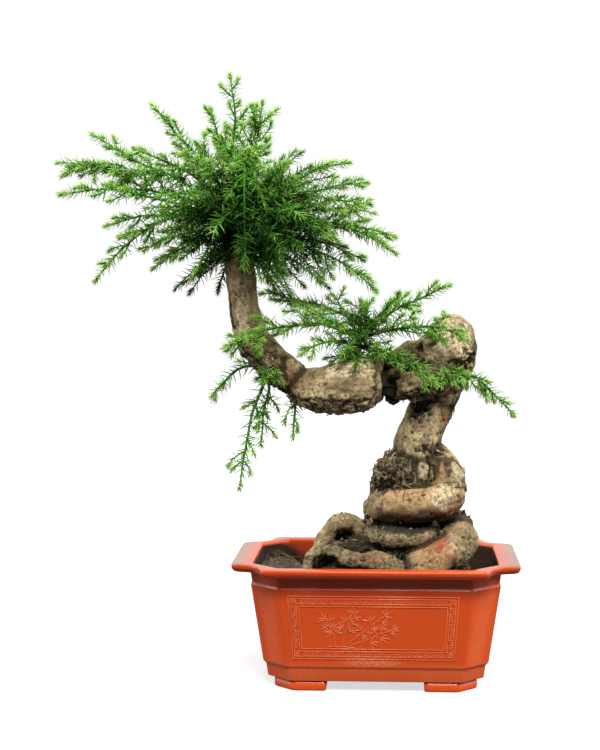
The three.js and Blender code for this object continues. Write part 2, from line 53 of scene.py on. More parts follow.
def smooth(low, high, x):  # 0 below low, 1 above high, t²(3 - 2t) between them
    t = np.clip((x - low) / (high - low), 0, 1)
    return t * t * (3 - 2 * t)


def bezier(start, control, end, t):
    t = np.asarray(t)[:, None]
    return (1 - t) ** 2 * start + 2 * t * (1 - t) * control + t ** 2 * end


def runOf(points):  # how far each point of a line is from its start, along the line
    return np.concatenate([[0], np.cumsum(np.linalg.norm(np.diff(points, axis=0), axis=1))])


def sampled(where, run, table):  # a table's rows, read at other places along its run
    return np.stack([np.interp(where, run, column) for column in table.T], 1)


def spokes(side, up, count):  # cos a · side + sin a · up for even angles a, at every place
    angle = np.arange(count) * 2 * np.pi / count
    return np.cos(angle)[None, :, None] * side[:, None] + np.sin(angle)[None, :, None] * up[:, None]


def softened(ring, passes):  # every pass makes a point half itself and a quarter of each neighbour
    for _ in range(passes):
        ring = 0.5 * ring + 0.25 * (np.roll(ring, 1, 0) + np.roll(ring, -1, 0))
    return ring


def awayFrom(points, centre, half):  # distance from the centre, 1 on the ellipsoid
    return np.linalg.norm((points - np.array(centre)) / np.array(half), axis=1)


def ellipsoid(points, centre, half):  # 1 inside, falling to 0 over the outer third
    return 1 - smooth(0.65, 1.15, awayFrom(points, centre, half))


def block(points, centre, half):  # 1 inside a box with soft faces
    gap = np.abs(points - np.array(centre)) / np.array(half)
    return np.prod(1 - smooth(0.55, 1.25, gap), axis=1)


def lattice(cells, seed):  # a number from -1 to 1 for each whole-number cell
    n = (cells[..., 0] * 73856093) ^ (cells[..., 1] * 19349663) ^ (cells[..., 2] * 83492791)
    n = ((n ^ (seed * 7919 + 101)) * 1274126177) & 0x7FFFFFFF
    n = ((n ^ (n >> 15)) * 668265263) & 0x7FFFFFFF
    return ((n >> 7) & 0xFFFF) / 32767.5 - 1


def noise(points, size, seed=0):
    # The values of a cell's eight corners, blended by smooth weights of the place inside the cell
    place = points / size
    cell = np.floor(place).astype(np.int64)
    t = place - cell
    t = t * t * (3 - 2 * t)
    total = np.zeros(len(points))
    for corner in np.ndindex(2, 2, 2):
        weight = np.prod(np.where(np.array(corner) == 1, t, 1 - t), axis=1)
        total += weight * lattice(cell + np.array(corner), seed)
    return total


def layered(points, size, seed=0, layers=4):
    # Noise at sizes that halve, each layer about half as high as the last
    total = sum(noise(points, size * 0.5 ** k, seed + 17 * k) * 0.55 ** k for k in range(layers))
    return total / sum(0.55 ** k for k in range(layers)) * 1.6


def plates(points, size, seed=0):
    # One random spot in every cell. For each point: how much nearer the nearest spot is than the
    # second, 0 on the line between them, a number from -1 to 1 for the nearest, and the way from it
    place = points / size
    base = np.floor(place).astype(np.int64)
    first = np.full(len(points), 9.0)
    second = first.copy()
    number = np.zeros(len(points))
    way = np.zeros_like(place)
    for step in np.ndindex(3, 3, 3):
        cell = base + np.array(step) - 1
        spot = cell + 0.5 + 0.45 * np.stack([lattice(cell, seed + k) for k in range(3)], 1)
        gap = np.linalg.norm(place - spot, axis=1)
        closer = gap < first
        second = np.where(closer, first, np.minimum(second, gap))
        number = np.where(closer, lattice(cell, seed + 5), number)
        way = np.where(closer[:, None], place - spot, way)
        first = np.minimum(first, gap)
    return second - first, number, way


# Meshes from arrays. A part is (points, [face arrays], {field: values})

def gridFaces(rows, columns):
    # Quads between ring r and ring r + 1, closed round the columns
    r, c = np.meshgrid(np.arange(rows - 1), np.arange(columns), indexing="ij")
    nextC = (c + 1) % columns
    here, above = r * columns, (r + 1) * columns
    return np.stack([here + c, here + nextC, above + nextC, above + c], -1).reshape(-1, 4)


def loft(rings, closed=False):
    # A skin through equal rings, with a fan to the middle of the first and the last one
    rings = np.asarray(rings, float)
    rows, columns = rings.shape[:2]
    points = rings.reshape(-1, 3)
    quads = gridFaces(rows, columns)
    c = np.arange(columns)
    nextC = (c + 1) % columns
    last = (rows - 1) * columns
    if closed:  # the last ring joins the first
        return points, [np.vstack([quads, np.stack([last + c, last + nextC, nextC, c], -1)])], {}
    poles = np.stack([rings[0].mean(0), rings[-1].mean(0)])
    firstFan = np.stack([nextC, c, np.full(columns, len(points))], -1)
    lastFan = np.stack([last + c, last + nextC, np.full(columns, len(points) + 1)], -1)
    return np.vstack([points, poles]), [quads, firstFan, lastFan], {}


def merged(parts):
    # Parts put together into one; a part without a field gets zeros for it
    points, faces, fields, offset = [], [], {}, 0
    names = sorted({name for part in parts for name in part[2]})
    for place, sets, values in parts:
        points.append(place)
        faces += [one + offset for one in sets]
        for name in names:
            fields.setdefault(name, []).append(values.get(name, np.zeros(len(place))))
        offset += len(place)
    return np.vstack(points), faces, {name: np.concatenate(fields[name]) for name in names}


def setPoints(mesh, points):
    mesh.vertices.foreach_set("co", ((points + potCentre) * mm).astype(np.float32).ravel())


def setField(mesh, name, values):
    mesh.attributes.new(name, "FLOAT", "POINT").data.foreach_set("value", values.astype(np.float32))


def meshOf(name, part):
    points, sets, fields = part
    mesh = bpy.data.meshes.new(name)
    sets = [np.asarray(one, np.int32) for one in sets if len(one)]
    sizes = np.concatenate([np.full(len(one), one.shape[1], np.int32) for one in sets])
    corners = np.concatenate([one.ravel() for one in sets])
    mesh.vertices.add(len(points))
    setPoints(mesh, points)
    mesh.loops.add(len(corners))
    mesh.loops.foreach_set("vertex_index", corners)
    mesh.polygons.add(len(sizes))
    starts = np.concatenate([[0], np.cumsum(sizes)[:-1]]).astype(np.int32)
    mesh.polygons.foreach_set("loop_start", starts)
    mesh.polygons.foreach_set("use_smooth", np.ones(len(sizes), bool))
    for key, values in fields.items():
        setField(mesh, key, values)
    mesh.update(calc_edges=True)
    mesh.validate()
    return mesh


def newObject(name, data):
    thing = bpy.data.objects.new(name, data)
    bpy.context.scene.collection.objects.link(thing)
    return thing


def piece(name, mesh, material, nodes=()):
    thing = newObject(name, mesh)
    mesh.materials.append(material)
    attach(thing, "root")
    if nodes:
        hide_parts(*nodes)
    mesh.calc_loop_triangles()
    print(name, len(mesh.loop_triangles), "triangles")


# Shader building blocks

def newMaterial(name):
    material = bpy.data.materials.new(name)
    material.use_nodes = True
    tree = material.node_tree
    return material, tree, tree.nodes["Principled BSDF"]


def addNode(tree, kind, **settings):
    node = tree.nodes.new(kind)
    for key, value in settings.items():
        if hasattr(node, key):
            setattr(node, key, value)
        else:
            node.inputs[key.replace("_", " ")].default_value = value
    return node


def plug(tree, value, socket):
    if isinstance(value, (int, float)):
        socket.default_value = value
    elif isinstance(value, tuple):
        socket.default_value = (*value, 1.0)[: len(socket.default_value)]
    else:
        tree.links.new(value, socket)


def math2(tree, kind, a, b):
    node = addNode(tree, "ShaderNodeMath", operation=kind)
    plug(tree, a, node.inputs[0])
    plug(tree, b, node.inputs[1])
    return node.outputs[0]


def times(tree, a, b):
    return math2(tree, "MULTIPLY", a, b)


def largest(tree, first, *others):
    for other in others:
        first = math2(tree, "MAXIMUM", first, other)
    return first


def mixColour(tree, share, a, b):
    node = addNode(tree, "ShaderNodeMix", data_type="RGBA")
    plug(tree, share, node.inputs["Factor"])
    plug(tree, a, node.inputs[6])  # sockets 6 and 7 are the two colours, output 2 is theirs
    plug(tree, b, node.inputs[7])
    return node.outputs[2]


# From one range to another, by smooth steps at both ends
def spread(tree, value, low, high, newLow=0.0, newHigh=1.0):
    node = addNode(tree, "ShaderNodeMapRange", interpolation_type="SMOOTHSTEP")
    plug(tree, value, node.inputs["Value"])
    ends = {"From Min": low, "From Max": high, "To Min": newLow, "To Max": newHigh}
    for name, number in ends.items():
        node.inputs[name].default_value = number
    return node.outputs["Result"]


def field(tree, name):
    return addNode(tree, "ShaderNodeAttribute", attribute_name=name).outputs["Fac"]


def tinted(tree, colour, name, amount, tint):  # a field, times an amount, lays a tint over the colour
    return mixColour(tree, times(tree, field(tree, name), amount), colour, tint)


def speckleGroup():
    # Two sizes of noise and a cell pattern on a place: Broad and Fine run from 0 to 1, Cracks is 1 in
    # thin lines between cells, Height is all three for a Bump
    group = bpy.data.node_groups.new("speckle", "ShaderNodeTree")
    group.interface.new_socket(name="Place", in_out="INPUT", socket_type="NodeSocketVector")
    for name in ("Broad Scale", "Fine Scale", "Cell Scale"):
        group.interface.new_socket(name=name, in_out="INPUT", socket_type="NodeSocketFloat")
    for name in ("Broad", "Fine", "Cracks", "Height"):
        group.interface.new_socket(name=name, in_out="OUTPUT", socket_type="NodeSocketFloat")
    inlet = group.nodes.new("NodeGroupInput")
    outlet = group.nodes.new("NodeGroupOutput")
    for name, detail in (("Broad", 3.0), ("Fine", 5.0)):
        node = addNode(group, "ShaderNodeTexNoise", Detail=detail)
        group.links.new(inlet.outputs["Place"], node.inputs["Vector"])
        group.links.new(inlet.outputs[name + " Scale"], node.inputs["Scale"])
        group.links.new(spread(group, node.outputs["Fac"], 0.3, 0.7), outlet.inputs[name])
        if name == "Fine":
            fine = node.outputs["Fac"]
    # A crack is 0.09 of a cell wide, and half as deep as the fine noise is high
    cells = addNode(group, "ShaderNodeTexVoronoi", feature="DISTANCE_TO_EDGE")
    group.links.new(inlet.outputs["Place"], cells.inputs["Vector"])
    group.links.new(inlet.outputs["Cell Scale"], cells.inputs["Scale"])
    cracks = spread(group, cells.outputs["Distance"], 0.0, 0.09, 1.0, 0.0)
    group.links.new(cracks, outlet.inputs["Cracks"])
    height = math2(group, "SUBTRACT", fine, times(group, cracks, 0.5))
    group.links.new(height, outlet.inputs["Height"])
    return group


speckle = speckleGroup()


def addSpeckle(tree, broad, fine, cells):
    node = tree.nodes.new("ShaderNodeGroup")
    node.node_tree = speckle
    objectPlace = addNode(tree, "ShaderNodeTexCoord").outputs["Object"]
    tree.links.new(objectPlace, node.inputs["Place"])
    node.inputs["Broad Scale"].default_value = broad
    node.inputs["Fine Scale"].default_value = fine
    node.inputs["Cell Scale"].default_value = cells
    return node.outputs


def finish(tree, shader, colour, roughness, specular=None):
    plug(tree, colour, shader.inputs["Base Color"])
    plug(tree, roughness, shader.inputs["Roughness"])
    if specular is not None:
        shader.inputs["Specular IOR Level"].default_value = specular


def addBump(tree, shader, height, strength, distance):
    node = addNode(tree, "ShaderNodeBump", Strength=strength, Distance=distance)
    plug(tree, height, node.inputs["Height"])
    tree.links.new(node.outputs["Normal"], shader.inputs["Normal"])


# Trunk and roots

limbs = {  # rows of x, y, z, radius along each limb
    "arm": [
        (-125, 0, 386, 9), (-124, 0, 379, 12.6), (-121, 0, 356, 12.8), (-118, -1, 330, 13.4),
        (-113, -3, 307, 14.6), (-101, -5, 289, 15.6), (-86, -6, 275, 15.8), (-60, -9, 259, 13),
    ],
    "leader": [(-124, 0, 376, 10.5), (-123, 0, 390, 8), (-121, 0, 408, 6), (-119, 0, 426, 5)],
    "twig": [(-19, -8, 278, 7), (-16, -8, 294, 4.2), (-10, -8, 308, 3.2), (-5, -8, 320, 2.4)],
    "barrel": [
        (-73, -7, 263, 12.5), (-61, -10, 259, 17.5), (-46, -14, 257, 20.6), (-29, -16, 259, 22.8),
        (-14, -14, 263, 24.5), (-2, -7, 266, 20.5), (7, 6, 270, 17),
    ],
    "link": [
        (1, 3, 268, 14), (14, 13, 274, 15.5), (28, 13, 281, 16.5), (42, 8, 290, 18),
        (54, 4, 298, 19), (65, 4, 303, 17),
    ],
    "hump": [
        (70, 3, 320.5, 12), (69, 3, 312, 17), (69, 5, 299, 20.5), (70, 8, 283, 18.5),
        (63, 11, 266, 17), (56, 11, 251, 18),
    ],
    "burl": [
        (16, -7, 260, 9), (22, -12, 260, 13), (35, -15, 262, 15), (49, -11, 267, 16),
        (64, -2, 269, 14),
    ],
    "column": [
        (61, 11, 262, 14), (55, 11, 247, 18), (47, 9, 235, 19.6), (40, 5, 219, 20.2),
        (37, 2, 200, 22), (34, 1, 180, 22),
    ],
    "knot": [(40, 2, 206, 14), (52, 2, 192, 18), (61, -2, 177, 19.5), (61, -12, 164, 17)],
    "shoulder": [(27, 2, 196, 13), (19, 1, 186, 17), (14, 2, 172, 18), (12, 4, 152, 19)],
    "scar": [(4, -5, 180, 13), (17, -11, 183, 17), (33, -13, 180, 18), (50, -10, 176, 15)],
    "coil": [
        (68, -6, 166, 14), (60, -17, 161, 16), (36, -26, 157, 16.4), (14, -20, 154, 16),
        (4, -4, 150, 14),
    ],
    "backCoil": [
        (3, -6, 150, 13.5), (5, 14, 146, 15), (26, 27, 140, 16), (55, 25, 134, 17.5),
        (74, 10, 127, 18.5),
    ],
    "bigRoot": [
        (70, 16, 128, 16), (77, 0, 122, 19), (67, -17, 115, 19.8), (46, -31, 106, 18.6),
        (26, -38, 92, 15),
    ],
    "lowCoil": [
        (-5, -2, 128, 8), (-1, -16, 128, 10), (12, -28, 128, 10.4), (32, -32, 128, 9.6),
        (52, -24, 129, 8.6),
    ],
    "core": [
        (28, -2, 84, 36), (28, -1, 104, 38), (27, 1, 128, 31), (30, 2, 156, 24), (31, 2, 184, 20),
    ],
    "arch": [
        (-51, -17, 92, 8), (-48, -15, 117, 7.6), (-42, -13, 130, 7.6), (-32, -11, 138.5, 7.8),
        (-20, -9, 136, 8.4), (-12, -8, 124, 9), (-6, -8, 106, 10),
    ],
    "leftRoot": [
        (-66, -43, 84, 5), (-56, -38, 112, 5.4), (-48, -34, 117, 6.2), (-34, -34, 113, 7.2),
        (-18, -39, 108, 8.4), (4, -44, 108, 9.2), (24, -44, 101, 9),
    ],
    "leftRidge": [
        (-57, -14, 86, 7), (-42, -16, 106, 8), (-26, -16, 114, 10), (-8, -14, 117, 13),
        (6, -12, 116, 14),
    ],
    "backRoot": [(20, 24, 118, 12), (4, 38, 106, 10), (-14, 48, 92, 8), (-26, 54, 82, 5.5)],
    "farRoot": [(58, 26, 116, 12), (72, 40, 100, 9), (82, 50, 85, 6)],
    # Fillings, so that neighbours run into each other as in the photo
    "brow": [(44, 0, 282, 14), (55, -4, 286, 17), (66, -2, 292, 18), (78, 4, 294, 13)],
    "cheek": [(64, -17, 168, 14), (63, -14, 184, 13)],
    "ridgeTop": [(-52, -17, 96, 8), (-41, -16, 110, 9.5), (-28, -16, 114, 11), (-14, -16, 116, 12)],
    "knee": [(1, -8, 150, 10), (0, -10, 138, 10.5), (1, -10, 126, 9.5)],
    "backing": [(-46, 4, 96, 11), (-37, 5, 116, 13), (-22, 6, 123, 13.5), (-8, 8, 124, 13)],
}

bark = {
    "ringStep": 2.0, "sides": 28,  # of a limb's tube
    "sampleStep": 1.5,  # along a limb, where distances are measured
    "stump": [(28, -3, 50, 24), (28, -3, 74, 25), (28, -3, 98, 26)],  # in the soil
    "soilLine": 84,  # the skin below it stays as it is
    "voxel": 1.32,  # of the skin over all the limbs
    "blend": 1.8,  # how far limbs run into each other
    "pull": 1.5,  # how far at most the skin is drawn on to the limbs, each time
    "mingle": 1.5,  # how far the finishes of neighbours mingle
    "plateSize": 4.6,  # of the torn bark, across the grain
    # Heights of the relief: on torn bark, on smooth bark, on the crust and on all of it
    "relief": {
        "rows": 1.0, "tornGrain": 0.8, "cracks": -1.6, "tornDrop": -1.3,
        "smoothGrain": 0.45, "lines": -0.6, "smoothSwell": 0.7, "smoothRise": 0.4,
        "pebbles": 1.3, "crustGrain": 0.5, "crustDrop": -0.7,
        "pits": -1.4, "crease": -1.6, "swell": 1.1,
    },
    # Loose flakes and shreds: number, half width, length over width, how far they lie across the
    # grain, and how far they stand up
    "chips": (900, (0.8, 1.7), (1.0, 2.2), 0.35, (0.05, 0.6)),
    "shreds": (190, (0.5, 1.1), (2.0, 5.5), 0.9, (0.05, 0.45)),
    "thickness": 0.45, "curl": 0.35, "sunk": 0.25,  # of each of them
    "chipsAbove": 96,  # the height from which they lie
    "slab": ((44, -26, 188), (9, 14, 13)),  # the smooth patch that stays clear of shreds
    "shredded": [((14, -12, 183), (25, 30, 20), 1.0), ((44, -16, 252), (22, 16, 12), 0.5),
                 ((78, -8, 282), (14, 18, 16), 0.25)],
    "speckle": (75.0, 360.0, 230.0),  # broad, fine and cells, to the metre
    "chipBrowns": ((0.045, 0.030, 0.014), (0.50, 0.38, 0.21)),
    "shades": {
        "grey": (0.26, 0.20, 0.10), "tan": (0.58, 0.45, 0.235), "paleTan": (0.90, 0.77, 0.50),
        "salmon": (0.45, 0.26, 0.115), "brick": (0.34, 0.05, 0.026),
        "umber": (0.013, 0.009, 0.004), "stain": (0.20, 0.135, 0.065), "flake": (0.23, 0.17, 0.09),
        "grain": (0.085, 0.055, 0.022), "crack": (0.05, 0.034, 0.014),
        "darkGrit": (0.05, 0.039, 0.017), "paleGrit": (0.29, 0.235, 0.12),
    },
    # Finish of each limb: flaky, crusted with soil, warm colour, dark colour and painted shade
    "finish": {
        "arm": (0.3, 0.0, 0.3, 0.0), "leader": (0.5, 0.0, 0.3, 0.3), "twig": (0.6, 0.0, 0.3, 0.3),
        "barrel": (0.2, 0.0, 0.2, 0.0), "link": (0.3, 0.0, 0.2, 0.1), "hump": (0.0, 0.0, 0.1, 0.0),
        "burl": (0.45, 0.0, 0.25, 0.1), "column": (0.25, 0.0, 0.15, 0.0),
        "knot": (0.5, 0.0, 0.1, 0.0), "shoulder": (0.75, 0.4, 0.0, 0.0),
        "scar": (1.0, 0.25, 0.0, 0.08), "coil": (0.05, 0.0, 0.5, 0.0),
        "backCoil": (0.5, 0.3, 0.2, 0.1), "bigRoot": (0.15, 0.3, 0.65, 0.06),
        "lowCoil": (0.3, 1.0, 0.0, 0.0), "core": (0.8, 1.0, 0.0, 0.3),
        "arch": (0.1, 0.6, 0.1, 0.0), "leftRoot": (0.3, 1.0, 0.2, 0.0),
        "leftRidge": (0.5, 0.8, 0.0, 0.0), "backRoot": (0.5, 0.8, 0.1, 0.2),
        "farRoot": (0.5, 0.8, 0.1, 0.2), "brow": (0.12, 0.0, 0.2, 0.0),
        "cheek": (0.25, 0.0, 0.1, 0.0), "ridgeTop": (0.6, 0.8, 0.0, 0.0),
        "backing": (0.8, 1.0, 0.0, 0.5), "knee": (0.6, 0.7, 0.0, 0.0),
    },
    # Local patches of each field: rows of x, y, z, three half sizes and the amount
    "patches": {
        "warm": [
            (30, -32, 168, 30, 14, 11, 0.6), (55, -22, 187, 7, 14, 16, 1.4),
            (50, -44, 116, 20, 16, 15, 0.6), (-3, -50, 114, 20, 10, 7, 0.8),
            (62, -3, 236, 6, 12, 16, 0.9), (44, -10, 287, 9, 10, 8, 0.9),
            (-74, -22, 268, 12, 12, 12, 0.6), (58, -36, 165, 13, 12, 11, -0.4),
            (60, -44, 106, 20, 16, 12, 0.6),
        ],
        "flaky": [
            (30, -33, 168, 34, 14, 13, -0.5), (55, -22, 187, 8, 14, 16, -1.2),
            (42, -26, 188, 6, 12, 11, -0.9), (50, -12, 205, 20, 14, 3.5, 0.4),
            (42, -14, 235, 14, 14, 3.5, 0.45), (83, -9, 290, 9, 16, 20, 0.4),
            (52, -24, 255, 30, 12, 8, 0.6), (1, -20, 262, 7, 18, 20, 0.45),
            (38, -10, 248, 16, 12, 9, 0.7), (-92, -16, 280, 16, 16, 14, 0.6),
        ],
        # Pale bark; some patches paint light: the arm's highlight stripe, the hump's shaded face and
        # the shaded place under the burl
        "pale": [
            (58, -36, 165, 13, 12, 11, 1.3), (54, -24, 190, 4.5, 12, 12, 0.7),
            (24, -34, 166, 14, 12, 6, 0.5), (42, -26, 188, 4, 12, 9, 0.5),
            (-5, -16, 182, 8, 18, 16, 1.4), (24, -28, 188, 4, 10, 5, 0.5),
            (72, -16, 184, 9, 16, 20, 0.45), (66, -36, 120, 6, 8, 9, 1.2),
            (-48, -42, 117, 10, 10, 4, 0.6), (-24, -30, 276, 26, 14, 9, 0.8),
            (60, -10, 298, 26, 18, 26, 2.4), (-118, -16, 322, 6, 12, 34, 0.8),
            (46, -14, 290, 12, 12, 10, 0.7), (80, -10, 288, 14, 16, 16, 0.5),
            (42, -14, 224, 14, 14, 14, 0.35), (-36, -28, 246, 42, 22, 13, 1.5),
            (64, -8, 250, 13, 18, 11, 1.2),
        ],
        "rust": [
            (68, -29, 157, 8, 10, 8, 0.5), (63, -20, 189, 4, 14, 11, 0.5),
            (57, -33, 127, 11, 10, 7, 1.1), (52, -38, 122, 9, 9, 7, 0.7),
            (64, -30, 151, 12, 14, 5, 0.8), (40, -38, 150, 26, 14, 8, 0.35),
            (-8, -50, 115, 12, 10, 5, 0.35), (-76, -22, 269, 6, 10, 9, 0.6),
            (-114, -17, 298, 8, 10, 12, 0.45), (67, -40, 111, 5, 14, 10, 0.4),
        ],
        "crust": [
            (-1, -20, 158, 15, 20, 20, 0.9), (82, -20, 116, 15, 22, 22, 0.9),
            (-6, -50, 114, 22, 12, 7, -0.5), (52, -40, 112, 24, 16, 18, -0.4),
        ],
        # Painted shade in grooves, holes, clefts, hollows and under the coil
        "dark": [
            (47.8, -24, 188, 1.5, 12, 10, 1.5), (36, -26, 188, 1.2, 12, 8, 1.1),
            (4, -22, 189, 4.5, 10, 3.5, 1.2), (20, -26, 196, 5, 10, 3, 1.2),
            (29, -28, 181, 4, 10, 4.5, 1.1), (32, -26, 197, 3, 10, 4, 1.1),
            (9, -24, 177, 7, 10, 2.5, 1.1), (16, -26, 184, 3.5, 10, 4, 1.0),
            (67, -28, 177, 6, 12, 1.2, 0.7), (77, -16, 176, 1.4, 14, 6, 0.8),
            (25, -36, 165, 0.9, 12, 5, 0.9), (29.5, -36, 163, 0.8, 12, 4, 0.7),
            (64.5, -20, 188, 3.0, 14, 11, 0.7), (68, -34, 106, 18, 20, 9, 0.35),
            (-44, -42, 106, 13, 14, 8, 1.6), (30, -36, 146, 38, 20, 12, 0.5),
            (28, -34, 140, 42, 22, 9, 1.0), (60, -30, 146, 16, 16, 5, 1.2),
            (77, -12, 305, 3.0, 9, 3.4, 1.2), (73, -14, 284, 3.6, 9, 3, 1.3),
            (79, -11, 291, 2.2, 9, 2.6, 1.1), (85, -7, 283, 2.6, 9, 4, 1.2),
            (38, -12, 295, 3.4, 10, 3.4, 1.4), (-130, -8, 331, 1.8, 10, 10, 1.5),
            (-128, -8, 318, 1.6, 10, 6, 1.3), (34, -8, 246, 13, 12, 8, 0.9),
            (12, -16, 262, 4.6, 30, 30, 1.5), (36, -20, 250, 26, 14, 4, 0.5),
            (-81, -18, 277, 4, 22, 16, 1.5), (60, -14, 299, 19, 12, 14, -0.6),
            (-16, -44, 112, 46, 16, 14, 0.32), (68, -40, 110, 3.5, 14, 10, 0.5),
            (16, -26, 190, 15, 10, 10, 0.4),
        ],
    },
    # Where limbs meet without a crease: centre, half sizes
    "grownOver": [
        ((68, -20, 173), (20, 20, 20)), ((-10, -12, 158), (16, 20, 24)),
        ((62, -10, 298), (28, 22, 24)), ((68, -8, 256), (14, 18, 12)),
    ],
    # Clefts between two rounded forms, with no flakes in them: centre, half sizes, height
    "clefts": [
        ((12, -16, 262), (4.2, 34, 34), -5.5), ((11, -16, 262), (13, 34, 34), -3.0),
        ((-81, -18, 276), (6.5, 22, 17), -5.0),
    ],
    # Shapes pushed out or pressed in: centre, half sizes, height
    "carvings": [
        ((42, -26, 188), (4.6, 9, 10), 2.2), ((47.6, -24, 188), (1.0, 9, 10), -3.4),
        ((36.5, -26, 188), (0.9, 9, 9), -2.0), ((63, -22, 189), (2.8, 14, 10), -2.6),
        ((38, 9, 309), (10, 18, 7), -5.5), ((90, -4, 118), (10, 30, 24), -4.2),
        ((-44, -44, 107), (11, 12, 6), -4.0), ((77, -12, 305), (3.2, 9, 4), -2.2),
        ((72, -14, 283), (4.5, 9, 3.6), -2.6), ((79, -11, 290.5), (2.4, 9, 3), -1.8),
        ((85, -7, 283), (2.6, 9, 4), -2.2), ((38, -12, 295), (3.6, 10, 3.6), -2.4),
        ((34, -8, 243), (11, 10, 5), -3.0), ((-28, -18, 128), (8, 8, 6), -2.0),
    ],
}


def smoothPath(rows, spacing):
    # Centripetal Catmull-Rom curve. Between two rows it is the cubic whose end slopes are weighed by
    # the square roots of the distances around them; it is then cut into equal steps
    points = np.array(rows, float)
    around = np.vstack([2 * points[0] - points[1], points, 2 * points[-1] - points[-2]])
    gaps = np.sqrt(np.maximum(np.linalg.norm(np.diff(around[:, :3], axis=0), axis=1), 1e-3))[:, None]
    t = np.linspace(0, 1, 24, endpoint=False)[:, None]
    curve = []
    for k in range(len(points) - 1):
        p0, p1, p2, p3 = around[k:k + 4]
        g0, g1, g2 = gaps[k:k + 3]
        m1 = ((p1 - p0) / g0 - (p2 - p0) / (g0 + g1) + (p2 - p1) / g1) * g1
        m2 = ((p2 - p1) / g1 - (p3 - p1) / (g1 + g2) + (p3 - p2) / g2) * g1
        square, cube = 3 * (p2 - p1) - 2 * m1 - m2, 2 * (p1 - p2) + m1 + m2
        curve.append(p1 + m1 * t + square * t ** 2 + cube * t ** 3)
    curve = np.vstack(curve + [points[-1:]])
    run = runOf(curve[:, :3])
    even = np.linspace(0, run[-1], max(4, int(run[-1] / spacing) + 1))
    return sampled(even, run, curve), even


def pathAxes(centres):
    # Tangents, and two directions square to them, the first one in the path's own flattest plane
    tangents = unit(np.gradient(centres, axis=0))
    plane = np.linalg.svd(centres - centres.mean(0))[2][-1]
    side = unit(np.cross(tangents, plane))
    return tangents, side, np.cross(tangents, side)


def limbTube(rows):
    # Ring k: centre + radius (cos a · side + sin a · up); near an end the radius follows a quarter
    # ellipse, sqrt(1 - (1 - d / 0.6 r)²) at a distance d from the end
    path, run = smoothPath(rows, bark["ringStep"])
    centres, radii = path[:, :3], path[:, 3]
    _, side, up = pathAxes(centres)
    away = np.minimum(run, run[-1] - run)
    cap = np.sqrt(np.clip(1 - (1 - np.clip(away / (0.6 * radii), 0, 1)) ** 2, 0.12, 1))
    return loft(centres[:, None] + spokes(side, up, bark["sides"]) * (radii * cap)[:, None, None])


def remeshed(name, part, voxel):
    # One closed skin over all the tubes of a part, from little cubes of the voxel's size
    rough = newObject(name, meshOf(name, part))
    modifier = rough.modifiers.new("skin", "REMESH")
    modifier.mode = "VOXEL"
    modifier.voxel_size = voxel * mm
    shown = rough.evaluated_get(bpy.context.evaluated_depsgraph_get())
    mesh = bpy.data.meshes.new_from_object(shown)
    old = rough.data
    bpy.data.objects.remove(rough)
    bpy.data.meshes.remove(old)
    return mesh


def threes(items, key):
    values = np.empty(len(items) * 3, np.float32)
    items.foreach_get(key, values)
    return values.reshape(-1, 3).astype(float)


def pointsOf(mesh):
    return threes(mesh.vertices, "co") / mm - potCentre


def normalsOf(mesh):
    return threes(mesh.vertex_normals, "vector")


class LimbField:
    # Samples along every limb: the distance of a point to a limb is its distance to the nearest
    # sample, less that sample's radius
    def __init__(self, names):
        self.names = list(names)
        paths = [smoothPath(limbs[name], bark["sampleStep"]) for name in self.names]
        axes = [pathAxes(path[:, :3]) for path, _ in paths]
        self.centres = np.vstack([path[:, :3] for path, _ in paths])
        self.radii = np.concatenate([path[:, 3] for path, _ in paths])
        self.runs = np.concatenate([run for _, run in paths])
        self.tangents = np.vstack([axis[0] for axis in axes])
        self.side = np.vstack([axis[1] for axis in axes])
        self.up = np.vstack([axis[2] for axis in axes])
        self.starts = np.concatenate([[0], np.cumsum([len(run) for _, run in paths])[:-1]])

    def samplesOf(self, *names):
        ends = np.append(self.starts[1:], len(self.radii))
        picks = [self.names.index(name) for name in names]
        return np.concatenate([np.arange(self.starts[k], ends[k]) for k in picks])

    def measure(self, points):
        distances = np.empty((len(points), len(self.names)))
        nearest = np.empty(len(points), int)
        batch = 8192  # of points, to save memory
        for first in range(0, len(points), batch):
            some = slice(first, first + batch)
            gaps = np.linalg.norm(points[some, None] - self.centres[None], axis=2) - self.radii
            distances[some] = np.minimum.reduceat(gaps, self.starts, axis=1)
            nearest[some] = gaps.argmin(1)
        return distances, nearest


